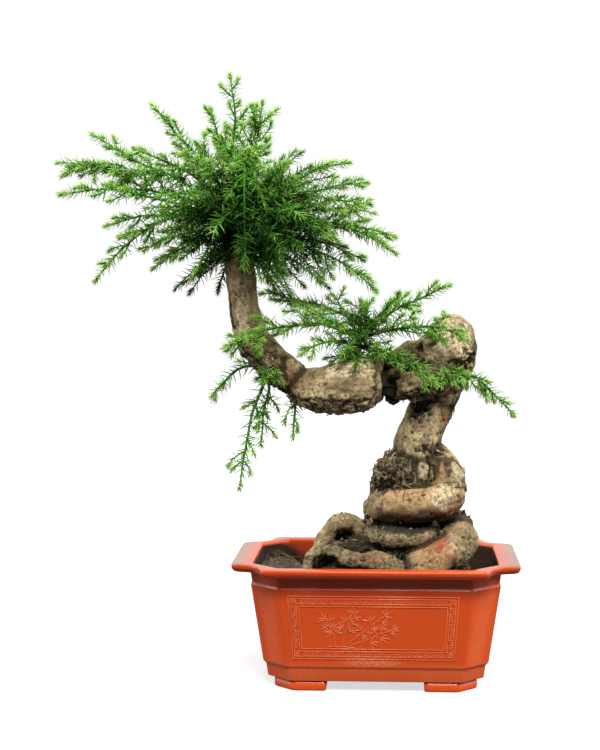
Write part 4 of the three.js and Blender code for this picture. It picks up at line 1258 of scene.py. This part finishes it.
def ball():
    # An icosahedron
    g = (1 + math.sqrt(5)) / 2
    corners = unit(np.array([
        (-1, g, 0), (1, g, 0), (-1, -g, 0), (1, -g, 0), (0, -1, g), (0, 1, g),
        (0, -1, -g), (0, 1, -g), (g, 0, -1), (g, 0, 1), (-g, 0, -1), (-g, 0, 1),
    ], float))
    faces = np.array([
        (0, 11, 5), (0, 5, 1), (0, 1, 7), (0, 7, 10), (0, 10, 11), (1, 5, 9), (5, 11, 4),
        (11, 10, 2), (10, 7, 6), (7, 1, 8), (3, 9, 4), (3, 4, 2), (3, 2, 6), (3, 6, 8),
        (3, 8, 9), (4, 9, 5), (2, 4, 11), (6, 2, 10), (8, 6, 7), (9, 8, 1),
    ])
    return corners, faces


def scattered(count, random):
    # Even random places inside the pot's mouth: in the rectangle, less the cut corners
    half = insideOutline(2.0)[:, :2].max(0)
    cut = pot["inside"][2][3]
    places = random.uniform(-1, 1, (count * 2, 2)) * half
    keep = (half - np.abs(places)).sum(1) > cut
    return places[keep][:count]


def growCrumbs(skin):
    # Icosahedra with uneven corners, on the soil and on the roots that are crusted with it
    random = np.random.default_rng(9)
    flat = scattered(soil["crumbs"], random)
    centres = np.column_stack([flat, soilTop(flat[:, 0], flat[:, 1])])
    wood = LimbField(["core", "bigRoot", "backCoil"])
    centres = centres[wood.measure(centres)[0].min(1) > -2]  # none deep inside the wood
    lowest, highest = soil["crustedRoots"]
    weight = skin["crust"] ** 2 * (skin["points"][:, 2] > lowest) * (skin["points"][:, 2] < highest)
    picks = random.choice(len(weight), soil["rootCrumbs"], p=weight / weight.sum())
    centres = np.vstack([centres, skin["points"][picks] - 0.2 * skin["normals"][picks]])
    small, large = soil["crumbSize"]
    size = small + (large - small) * random.random(len(centres)) ** 2.2
    size[-len(picks):] *= 0.8
    corners, faces = ball()
    wobble = random.uniform(0.65, 1.2, (len(centres), 12, 1))
    points = centres[:, None] + corners[None] * wobble * size[:, None, None] * (1, 1, 0.75)
    points[..., 2] += 0.4 * size[:, None]
    tris = (faces[None] + (np.arange(len(centres)) * 12)[:, None, None]).reshape(-1, 3)
    tint = np.repeat(random.random(len(centres)), 12)
    return points.reshape(-1, 3), [tris], {"tint": tint}


def growStraws():
    # Dry grass: thin three-sided stems along arcs, most of them on the heap at the left
    random = np.random.default_rng(31)
    parts = []
    t = np.linspace(0, 1, 8)[:, None]
    for _ in range(soil["straws"]):
        root = random.normal(*soil["strawHeap"])
        root = np.clip(root, (-98, -64), (98, 64))
        turn = random.uniform(0, 2 * np.pi)
        long = random.uniform(*soil["strawLength"])
        way = np.array([math.cos(turn), math.sin(turn)])
        flat = root + way * long * t
        flat = np.clip(flat, (-99, -66), (99, 66))
        path = np.column_stack([flat, soilTop(flat[:, 0], flat[:, 1]) + 0.5])
        path[:, 2] += random.uniform(0.5, 8) * np.sin(np.pi * t[:, 0] * random.uniform(0.3, 0.6))
        tangents = unit(np.gradient(path, axis=0))
        side = unit(np.cross(tangents, [0.1, 0.2, 1.0]))
        radius = random.uniform(*soil["strawRadius"]) * (1 - 0.6 * t[:, 0])
        wheel = spokes(side, np.cross(tangents, side), 3)
        part = loft(path[:, None] + wheel * radius[:, None, None])
        part[2]["tint"] = np.full(len(part[0]), random.random())
        parts.append(faceOut(part))
    return merged(parts)


def soilMaterial():
    material, tree, shader = newMaterial("potting soil")
    spots = addSpeckle(tree, 90.0, 650.0, 380.0)
    colour = mixColour(tree, spots["Broad"], *soil["browns"])
    grains = spread(tree, spots["Fine"], 0.55, 0.95, 0.0, 0.7)
    colour = mixColour(tree, grains, colour, soil["paleGrain"])
    # Painted shade towards the right
    colour = tinted(tree, colour, "wet", 0.5, soil["shadeBrown"])
    finish(tree, shader, colour, spread(tree, spots["Fine"], 0.0, 1.0, 0.85, 1.0))
    addBump(tree, shader, spots["Height"], 0.9, 0.0015)
    return material


print("filling in the soil")
piece("soil_surface", meshOf("soil_surface", growSoil()), soilMaterial(), ["soil"])
crumbFinish = litterMaterial("soil crumbs", *soil["crumbBrowns"])
piece("soil_crumbs", meshOf("soil_crumbs", growCrumbs(trunkSkin)), crumbFinish)
strawFinish = litterMaterial("dry grass", *soil["strawBrowns"])
piece("soil_straws", meshOf("soil_straws", growStraws()), strawFinish)


# Sprays of needles

# The foot that tips are measured from, and the lowest and highest places of a stem's root
sprayGroups = {
    "crown": ((-124, 0, 375), (-124, 0, 384), (-119.5, 0, 421)),
    "loop": ((-10, -9, 279), (-16, -8, 294), (-6, -8, 317)),
    "elbow": ((62, -8, 273), (62, -8, 272), (66, -4, 276)),
    "bend": ((-95, -6, 272), (-93, -7, 272), (-99, -6, 278)),
    "belly": ((-69, -8, 256), (-69, -8, 256), (-69, -8, 256)),
}
# Group, root's share from low to high, turn in degrees, tip's reach and rise, and lift
sprays = [
    ("crown", 0.96, 125, 12, 165, 0), ("crown", 1, 214, 27, 133, 4), ("crown", 1, 338, 26, 139, 4),
    ("crown", 0.9, 166, 82, 140, 4), ("crown", 0.84, 198, 93, 97, 6),
    ("crown", 0.74, 167, 142, 115, 2), ("crown", 0.66, 181, 162, 87, 8),
    ("crown", 0.58, 197, 158, 56, 12), ("crown", 0.5, 173, 124, 30, 12),
    ("crown", 0.34, 186, 128, -20, 34), ("crown", 0.08, 172, 80, -9, 12),
    ("crown", 0.04, 228, 52, -15, 17), ("crown", 0.9, 281, 72, -2, 66),
    ("crown", 0.88, 25, 110, 88, 8), ("crown", 0.72, 8, 118, 68, 6),
    ("crown", 0.6, 350, 122, 47, 8), ("crown", 0.5, 24, 134, 42, 10),
    ("crown", 0.38, 5, 142, 19, 12), ("crown", 0.28, 346, 147, 3, 22),
    ("crown", 0.22, 17, 118, -2, 10), ("crown", 0.05, 352, 126, -30, 20),
    ("crown", 0.06, 46, 52, -14, 14), ("crown", 0.52, 236, 104, 52, 12),
    ("crown", 0.3, 264, 98, 20, 16), ("crown", 0.44, 303, 116, 34, 14),
    ("crown", 0.2, 322, 118, 14, 20), ("crown", 0.78, 244, 84, 90, 8),
    ("crown", 0.72, 312, 76, 82, 8), ("crown", 0.6, 62, 116, 50, 10),
    ("crown", 0.34, 80, 120, 20, 14), ("crown", 0.76, 98, 112, 76, 8),
    ("crown", 0.44, 118, 124, 26, 14), ("crown", 0.2, 148, 112, 8, 12),
    ("loop", 0.85, 156, 106, 64, 8), ("loop", 0.42, 196, 120, 22, 14),
    ("loop", 0.1, 216, 68, 12, 8), ("loop", 1, 335, 34, 62, 2), ("loop", 0.78, 21, 82, 72, 4),
    ("loop", 0.5, 338, 97, 25, 10), ("loop", 0.05, 326, 74, -13, 6), ("loop", 0.62, 90, 46, 56, 4),
    ("elbow", 0.5, 354, 60, -38, 10), ("elbow", 0, 296, 34, -8, 6), ("bend", 0, 208, 30, -102, 20),
    ("bend", 1, 173, 54, -21, 10), ("bend", 0, 120, 20, -66, 6), ("belly", 0, 230, 8, -41, 0),
]

# Shoots that start between two places: number, shortest, longest, the way they favour, and shade
thickets = [
    ("crown", (-124, 0, 381), (-119, 0, 424), 90, 30, 74, (0.25, -0.05, 0.05), 0.95),
    ("crown_right", (-122, -4, 388), (-118, -4, 418), 84, 50, 98, (1.2, -0.25, 0.05), 0.4),
    ("crown_left", (-126, -4, 392), (-121, -4, 425), 16, 45, 82, (-1.2, -0.2, 0.25), 0.3),
    ("crown_front", (-123, -6, 384), (-116, -6, 416), 9, 46, 70, (0.35, -1.6, -0.1), 0.2),
    ("crown_plume", (-170, -4, 447), (-262, -5, 463), 18, 16, 32, (-0.8, -0.4, -0.8), 0.0),
    ("crown_top", (-120, -1, 426), (-106, -7, 490), 22, 20, 38, (0.1, -0.4, 0.9), 0.0),
    ("crown_foot", (-126, -5, 374), (-122, -5, 386), 20, 12, 26, (0.0, -0.5, -0.1), 0.5),
    ("loop", (-18, -9, 286), (-5, -8, 321), 34, 18, 40, (0.1, -0.25, 0.2), 0.55),
    ("loop_foot", (-23, -14, 281), (-12, -14, 284), 12, 10, 22, (0.1, -0.6, 0.4), 0.3),
    ("loop_tip", (-98, -35, 306), (-120, -41, 301), 10, 9, 19, (-0.2, -1.0, -0.3), 0.0),
    ("bend", (-95, -19, 270), (-99, -20, 280), 8, 9, 20, (0.3, -0.9, -0.2), 0.3),
    ("elbow", (60, -16, 269), (68, -17, 275), 8, 9, 20, (0.3, -1.0, 0.0), 0.0),
    ("hump", (50, -5, 312), (80, -3, 320), 6, 8, 14, (0.1, -0.2, 1.0), 0.0),
    ("hump_front", (48, -15, 304), (66, -15, 305), 5, 6, 10, (0.2, -0.9, 0.2), 0.0),
]

leafy = {
    "startOut": 3.5,  # a stem's root lies this far towards its own side of the wood
    # Radius of a shoot at its root and at its tip
    "stem": (1.6, 0.7), "side": (0.95, 0.45), "twiglet": (0.6, 0.4),
    "wobble": 3.0, "longStem": 110,  # how far a stem of this length strays from its curve
    "bare": 0.04, "sideBare": 0.05,  # share of a stem and of a side shoot without needles
    "sideEvery": 8.0, "sideFrom": 0.12, "sideTo": 0.94,  # side shoots along a stem
    "density": 0.9, "tipDensity": 3.6, "oldDensity": 0.62,  # needles for each millimetre of shoot
    "spiral": 137.5,  # degrees from one needle to the next, round the shoot
    "needle": 9.2, "young": 3.9, "old": 10.8,  # lengths
    "half": 0.5, "oldHalf": 0.7,  # half a needle's width at the tip and on old wood
    "flatness": (1.2, 0.75),  # of a needle's section, across and through it
    "stemStep": 7,  # between the rings of a stem
    "litFrom": 0.84,  # a needle brighter than this is lit in the shaded middles too
    "dryShare": 0.015,  # of brown needles
    # Shaded middles: place, half sizes and how dark
    "deep": [((-100, 14, 390), (88, 80, 46), 1.0), ((-95, -24, 396), (84, 84, 42), 0.92),
             ((-54, -12, 392), (58, 60, 34), 0.6), ((-8, 4, 288), (34, 26, 24), 1.0)],
    # Where needles are coarse and stand apart: place and half sizes in x and z, and how much
    "coarse": [((-108, 402), (70, 50), 1.0), ((-178, 430), (44, 26), 0.8), ((-4, 296), (40, 30), 0.6),
               ((40, 285), (44, 34), 0.6), ((-112, 240), (48, 84), 0.35)],
    "greens": {
        "deep": (0.012, 0.115, 0.004), "mid": (0.105, 0.370, 0.016), "pale": (0.40, 0.66, 0.15),
        "tip": (0.24, 0.46, 0.09), "patch": (0.14, 0.36, 0.02), "shade": (0.002, 0.018, 0.001),
    },
    "wood": (0.16, 0.085, 0.04),
}


def coarseness(points):  # from 0 for dense soft needles to 1 for coarse ones
    most = np.zeros(len(points))
    for centre, half, amount in leafy["coarse"]:
        away = awayFrom(points[:, [0, 2]], centre, half)
        most = np.maximum(most, amount * (1 - smooth(0.5, 1.15, away)))
    return most


def shootPath(start, control, end, random, count=48):
    # The curve cut into equal steps, with its length. It strays by two waves that are still at both
    # ends: wobble · sin(πt) · (sin(2π(t + a)) · one way + sin(4π(t + b)) · another way / 2)
    t = np.linspace(0, 1, 97)
    points = bezier(start, control, end, t)
    stray = leafy["wobble"] * np.linalg.norm(end - start) / leafy["longStem"]
    for waves, share in ((1, 1.0), (2, 0.5)):
        way = unit(random.normal(0, 1, 3))
        wave = np.sin(np.pi * t) * np.sin(2 * np.pi * (waves * t + random.random()))
        points = points + stray * share * wave[:, None] * way
    run = runOf(points)
    return sampled(np.linspace(0, run[-1], count), run, points), run[-1]


def stemPath(row, random):
    # From the wood to the tip, over a control point that lies twice the lift above the middle
    group, share, turn, reach, rise, lift = row
    foot, low, high = (np.array(v, float) for v in sprayGroups[group])
    angle = math.radians(turn)
    way = np.array([math.cos(angle), math.sin(angle), 0])
    start = low + (high - low) * share + leafy["startOut"] * way
    tip = np.array([foot[0], foot[1], foot[2] + rise]) + reach * way
    return shootPath(start, (start + tip) / 2 + np.array([0, 0, 2.0 * lift]), tip, random)


def shootParts(path, length, radii, bare, age, random):
    # A stem of five sides, and needles in a spiral. A needle's middle line at a share u of its length
    # is root + length (u · first + curl · u² · along); it has three sides and draws in to a point
    tangents = unit(np.gradient(path, axis=0))
    flat = np.cross([0.0, 0.0, 1.0], tangents[0])
    flat = flat if np.linalg.norm(flat) > 0.2 else np.array([1.0, 0.0, 0.0])
    side = unit(flat - (tangents @ flat)[:, None] * tangents)
    up = np.cross(tangents, side)
    share = np.linspace(0, 1, len(path))
    radius = radii[0] + (radii[1] - radii[0]) * share

    picks = np.linspace(0, len(path) - 1, max(4, int(length / leafy["stemStep"]))).astype(int)
    wheel = spokes(side[picks], up[picks], 5)
    stem = loft(path[picks][:, None] + wheel * radius[picks][:, None, None])
    stemShare = np.append(np.repeat(share[picks], 5), [0, 1])
    stem[2]["woody"] = np.clip(0.8 - (stemShare + age) * 1.6, 0, 1)
    stem[2]["young"] = 0.6 * smooth(0.8, 1, stemShare)
    stem[2]["tone"] = np.full(len(stem[0]), 0.3)

    # The number of needles up to a place is the sum of the density before it
    run = np.linspace(bare, 1, 200)
    ahead = (1 - run) * length
    crowd = leafy["density"] + (leafy["oldDensity"] - leafy["density"]) * smooth(15, 55, ahead)
    coarse = coarseness(sampled(run, share, path))
    tuft = leafy["tipDensity"] * (1 - 0.85 * coarse) * np.exp(-((ahead / 5) ** 2))
    crowd = crowd * (1 - 0.5 * coarse) + tuft
    total = np.cumsum(crowd) * length * (run[1] - run[0])
    count = max(10, int(total[-1]))
    s = np.interp((np.arange(count) + random.random(count) * 0.7) / count * total[-1], total, run)
    turn = np.arange(count) * math.radians(leafy["spiral"]) + random.normal(0, 0.3, count)
    root = sampled(s, share, path)
    along = unit(sampled(s, share, tangents))
    sideways = unit(sampled(s, share, side))
    upwards = np.cross(along, sideways)
    out = np.cos(turn)[:, None] * sideways + np.sin(turn)[:, None] * upwards
    left = (1 - s) * length  # distance from the shoot's tip
    lean = 0.3 + 0.85 * np.exp(-left / 4.5) + random.normal(0, 0.16, count)  # from square to along
    first = out * np.cos(lean)[:, None] + along * np.sin(lean)[:, None]
    first = unit(first + random.normal(0, 0.09, (count, 3)))
    coarse = coarseness(root)
    # Needles are short at the tip and longest on old wood
    grown = np.maximum(smooth(-1, 14, left), 0.7 * coarse)
    long = leafy["young"] + (leafy["needle"] - leafy["young"]) * grown
    long = (long + (leafy["old"] - leafy["needle"]) * smooth(20, 60, left)) * (1 + 0.22 * coarse)
    long = long * random.uniform(0.78, 1.12, count)
    curl = random.uniform(0.08, 0.42, count)
    root = root + out * (0.5 * np.interp(s, share, radius))[:, None]
    across = unit(np.cross(first, along + 0.01 * upwards))
    through = np.cross(across, first)
    stations = np.array([0.0, 0.5])
    half = leafy["half"] + (leafy["oldHalf"] - leafy["half"]) * smooth(5, 40, left)
    half = half * (1 + 0.35 * coarse)
    widths = half[:, None] * np.array([1.0, 0.8])
    curled = (curl[:, None] * stations ** 2)[:, :, None] * along[:, None]
    middle = root[:, None] + long[:, None, None] * (stations[:, None] * first[:, None] + curled)
    corner = np.arange(3) * 2 * np.pi / 3 + np.pi / 2
    wide, deep = leafy["flatness"]
    shape = (np.cos(corner)[:, None] * across[:, None, None] * wide
             + np.sin(corner)[:, None] * through[:, None, None] * deep)
    grid = middle[:, :, None] + widths[:, :, None, None] * shape
    tip = root + long[:, None] * (first + curl[:, None] * along)
    points = np.concatenate([grid.reshape(count, 6, 3), tip[:, None]], 1)
    a = np.arange(3)
    b = (a + 1) % 3
    walls = np.stack([a, b, 3 + b, 3 + a], 1)
    ends = np.concatenate([np.stack([3 + a, 3 + b, np.full(3, 6)], 1), [[2, 1, 0]]])
    offset = np.arange(count)[:, None, None] * 7
    # A few needles are dry and brown, and the brightest ones are lit even in the shaded middles
    bright = random.random(count)
    young = np.exp(-left / 16) * random.uniform(0.55, 1.35, count) * (1 - 0.75 * coarse)
    fields = {
        "young": np.repeat(young, 7),
        "tone": np.repeat(bright ** (1.3 + 2 * coarse), 7),
        "lit": np.repeat(bright > leafy["litFrom"], 7) * 1.0,
        "outer": np.tile([0, 0, 0, 0.5, 0.5, 0.5, 1.0], count),
        "woody": np.repeat((random.random(count) < leafy["dryShare"]) * 0.6, 7),
    }
    faces = [(walls + offset).reshape(-1, 4), (ends + offset).reshape(-1, 3)]
    return [stem, (points.reshape(-1, 3), faces, fields)]


def branched(path, length, age, random, depth):
    # Side shoots left and right of a shoot, shorter towards its tip; the long ones branch again
    tangents = unit(np.gradient(path, axis=0))
    parts = []
    first, last = leafy["sideFrom"], leafy["sideTo"]
    count = max(1, int((last - first) * length / leafy["sideEvery"]))
    if length < 50:
        count = min(count, 2)
    for k in range(count):
        share = first + (last - first) * (k + random.uniform(0, 1)) / count
        index = int(share * (len(path) - 1))
        if random.random() < 0.8 * coarseness(path[index:index + 1])[0]:  # coarse shoots branch less
            continue
        along = tangents[index]
        flat = np.cross(along, [0.0, 0.0, 1.0])  # level, or to the right of an upright shoot
        flat = unit(flat) if np.linalg.norm(flat) > 0.3 else np.array([1.0, 0.0, 0.0])
        roll = random.normal(0, 0.6)
        sideways = flat * math.cos(roll) + np.cross(along, flat) * math.sin(roll)
        sideways = sideways * (1 if k % 2 else -1)
        long = (10 + 0.29 * length * (1 - share)) * random.uniform(0.6, 1.25)
        forward = random.uniform(0.5, 0.8)
        bend = path[index] + long * (0.2 * along + 0.4 * sideways)
        end = path[index] + long * (forward * along + (1.2 - forward) * sideways)
        sub, subLength = shootPath(path[index], bend, end, random, 24)
        radii = leafy["side"] if depth else leafy["twiglet"]
        parts += shootParts(sub, subLength, radii, leafy["sideBare"], max(age, share), random)
        if depth and subLength > 24:
            parts += branched(sub, subLength, share, random, depth - 1)
    return parts


def shaded(part):
    # How deep a place lies in the middle of the foliage, 1 at the heart and 0 outside; half as deep
    # for a needle that is lit
    deep = np.zeros(len(part[0]))
    for centre, half, amount in leafy["deep"]:
        deep = np.maximum(deep, amount * (1 - smooth(0.5, 1.1, awayFrom(part[0], centre, half))))
    part[2]["deep"] = deep * (1 - 0.5 * part[2].pop("lit"))
    return part


def growSpray(row, seed):
    random = np.random.default_rng(seed)
    path, length = stemPath(row, random)
    parts = shootParts(path, length, leafy["stem"], leafy["bare"], 0.0, random)
    return shaded(merged(parts + branched(path, length, 0.0, random, 1)))


def growThicket(row, seed):
    # Single shoots that arch a little; in a thicket of deep shade no needle is lit
    random = np.random.default_rng(seed)
    _, low, high, count, shortest, longest, favour, shade = row
    low, high, favour = (np.array(v, float) for v in (low, high, favour))
    parts = []
    for _ in range(count):
        start = low + (high - low) * random.random()
        way = unit(unit(random.normal(0, 1, 3) * (1, 1, 0.6)) + favour)
        long = random.uniform(shortest, longest)
        arch = np.array([0, 0, 0.12 * long])
        bend, end = start + 0.5 * long * way + arch, start + long * way
        path, length = shootPath(start, bend, end, random, 24)
        parts += shootParts(path, length, leafy["side"], leafy["bare"], 0.3, random)
    part = merged(parts)
    part[2]["lit"] = part[2]["lit"] * (shade < 0.9)
    part = shaded(part)
    part[2]["deep"] = np.maximum(part[2]["deep"], shade)
    return part


def foliageMaterial():
    material, tree, shader = newMaterial("waxy needles")
    greens = leafy["greens"]
    colour = mixColour(tree, field(tree, "tone"), greens["deep"], greens["mid"])
    deep = field(tree, "deep")
    youth = times(tree, field(tree, "young"), spread(tree, deep, 0.2, 0.9, 1.0, 0.25))
    colour = mixColour(tree, math2(tree, "MINIMUM", youth, 1.0), colour, greens["pale"])
    colour = tinted(tree, colour, "outer", 0.35, greens["tip"])
    spots = addSpeckle(tree, 160.0, 900.0, 500.0)
    patchy = spread(tree, spots["Broad"], 0.0, 1.0, 0.0, 0.2)
    colour = mixColour(tree, patchy, colour, greens["patch"])
    colour = mixColour(tree, times(tree, deep, 0.9), colour, greens["shade"])
    colour = mixColour(tree, field(tree, "woody"), colour, leafy["wood"])
    finish(tree, shader, colour, spread(tree, spots["Fine"], 0.0, 1.0, 0.4, 0.6), 0.14)
    shader.inputs["Subsurface Weight"].default_value = 0.5
    shader.inputs["Subsurface Radius"].default_value = (0.5, 1.0, 0.2)
    shader.inputs["Subsurface Scale"].default_value = 0.0015
    addBump(tree, shader, spots["Height"], 0.15, 0.0003)
    return material


print("growing the sprays")
foliage = foliageMaterial()
for index, row in enumerate(sprays):
    nodeName = f"{row[0]}_spray_{index + 1:02d}"
    needles = meshOf(nodeName + "_needles", growSpray(row, 500 + index))
    piece(nodeName + "_needles", needles, foliage, [nodeName])
for index, row in enumerate(thickets):
    needles = meshOf(row[0] + "_thicket", growThicket(row, 700 + index))
    piece(row[0] + "_thicket", needles, foliage)


# Floor, light and camera

stage = {
    "floor": 6.0,  # metres across
    "floorColour": (0.3, 0.3, 0.3), "floorBounce": (0.10, 0.10, 0.10), "floorGlow": 0.66,
    "backLight": 0.95, "frontLight": 0.02,  # of the room's walls, on the object
    # Lamps: strength, spread, and turn in degrees
    "lamps": {
        "overhead": (4.3, 26, (40, 0, 14)),
        "left": (2.1, 50, (62, 0, -92)),
        "right": (1.9, 50, (62, 0, 92)),
    },
    "camera": (104.8, -1433.6, 358.4),  # millimetres from the middle under the plant
    "yaw": -0.0640, "pitch": -0.0616, "roll": -0.0034,  # radians
    "focal": 1588.9, "imageHeight": 750, "sensor": 36.0,  # pixels, pixels and millimetres
}


def layFloor():
    half = stage["floor"] / 2
    corners = [(-half, -half, 0), (half, -half, 0), (half, half, 0), (-half, half, 0)]
    floor = bpy.data.meshes.new("floor")
    floor.from_pydata(corners, [], [(0, 1, 2, 3)])
    material, tree, shader = newMaterial("pale floor")
    # The camera sees a pale, faintly glowing floor, which throws less light back up than it seems to
    seen = addNode(tree, "ShaderNodeLightPath").outputs["Is Camera Ray"]
    finish(tree, shader, mixColour(tree, seen, stage["floorBounce"], stage["floorColour"]), 0.9)
    glow = mixColour(tree, seen, (0.0, 0.0, 0.0), (stage["floorGlow"],) * 3)
    tree.links.new(glow, shader.inputs["Emission Color"])
    shader.inputs["Emission Strength"].default_value = 1.0
    floor.materials.append(material)
    ground = newObject("floor", floor)


def lightRoom():
    world = bpy.data.worlds.new("studio")
    bpy.context.scene.world = world
    world.use_nodes = True
    tree = world.node_tree
    background = tree.nodes["Background"]
    background.inputs["Color"].default_value = (1, 1, 1, 1)
    # The camera sees white; everything else sees a room that is bright behind the object and dim in
    # front of it, by the y part of the ray's direction
    ray = addNode(tree, "ShaderNodeTexCoord").outputs["Generated"]
    depth = addNode(tree, "ShaderNodeSeparateXYZ")
    tree.links.new(ray, depth.inputs["Vector"])
    room = spread(tree, depth.outputs["Y"], -0.45, 0.45, stage["frontLight"], stage["backLight"])
    seen = addNode(tree, "ShaderNodeLightPath").outputs["Is Camera Ray"]
    tree.links.new(math2(tree, "MAXIMUM", room, seen), background.inputs["Strength"])

    for name, (strength, wide, turn) in stage["lamps"].items():
        sun = bpy.data.lights.new(name + " softbox", "SUN")
        sun.energy = strength
        sun.angle = math.radians(wide)
        newObject(name + " softbox", sun).rotation_euler = [math.radians(a) for a in turn]


def placeCamera():
    # Camera axes from yaw, pitch and roll; the lens comes from the focal length in pixels
    yaw, pitch, roll = stage["yaw"], stage["pitch"], stage["roll"]
    level = math.cos(pitch)
    forward = np.array([math.sin(yaw) * level, math.cos(yaw) * level, math.sin(pitch)])
    right = np.array([math.cos(yaw), -math.sin(yaw), 0])
    up = np.cross(right, forward)
    c, s = math.cos(roll), math.sin(roll)
    right, up = right * c + up * s, up * c - right * s
    camera = bpy.data.cameras.new("camera")
    camera.sensor_width = stage["sensor"]
    camera.lens = stage["focal"] * stage["sensor"] / stage["imageHeight"]
    camera.clip_end = 20
    eye = newObject("camera", camera)
    columns = np.column_stack([right, up, -forward, np.array(stage["camera"]) * mm])
    eye.matrix_world = Matrix([*columns.tolist(), (0, 0, 0, 1)])
    bpy.context.scene.camera = eye
    bpy.context.scene.view_settings.view_transform = "Standard"


print("setting the stage")
layFloor()
lightRoom()
placeCamera()
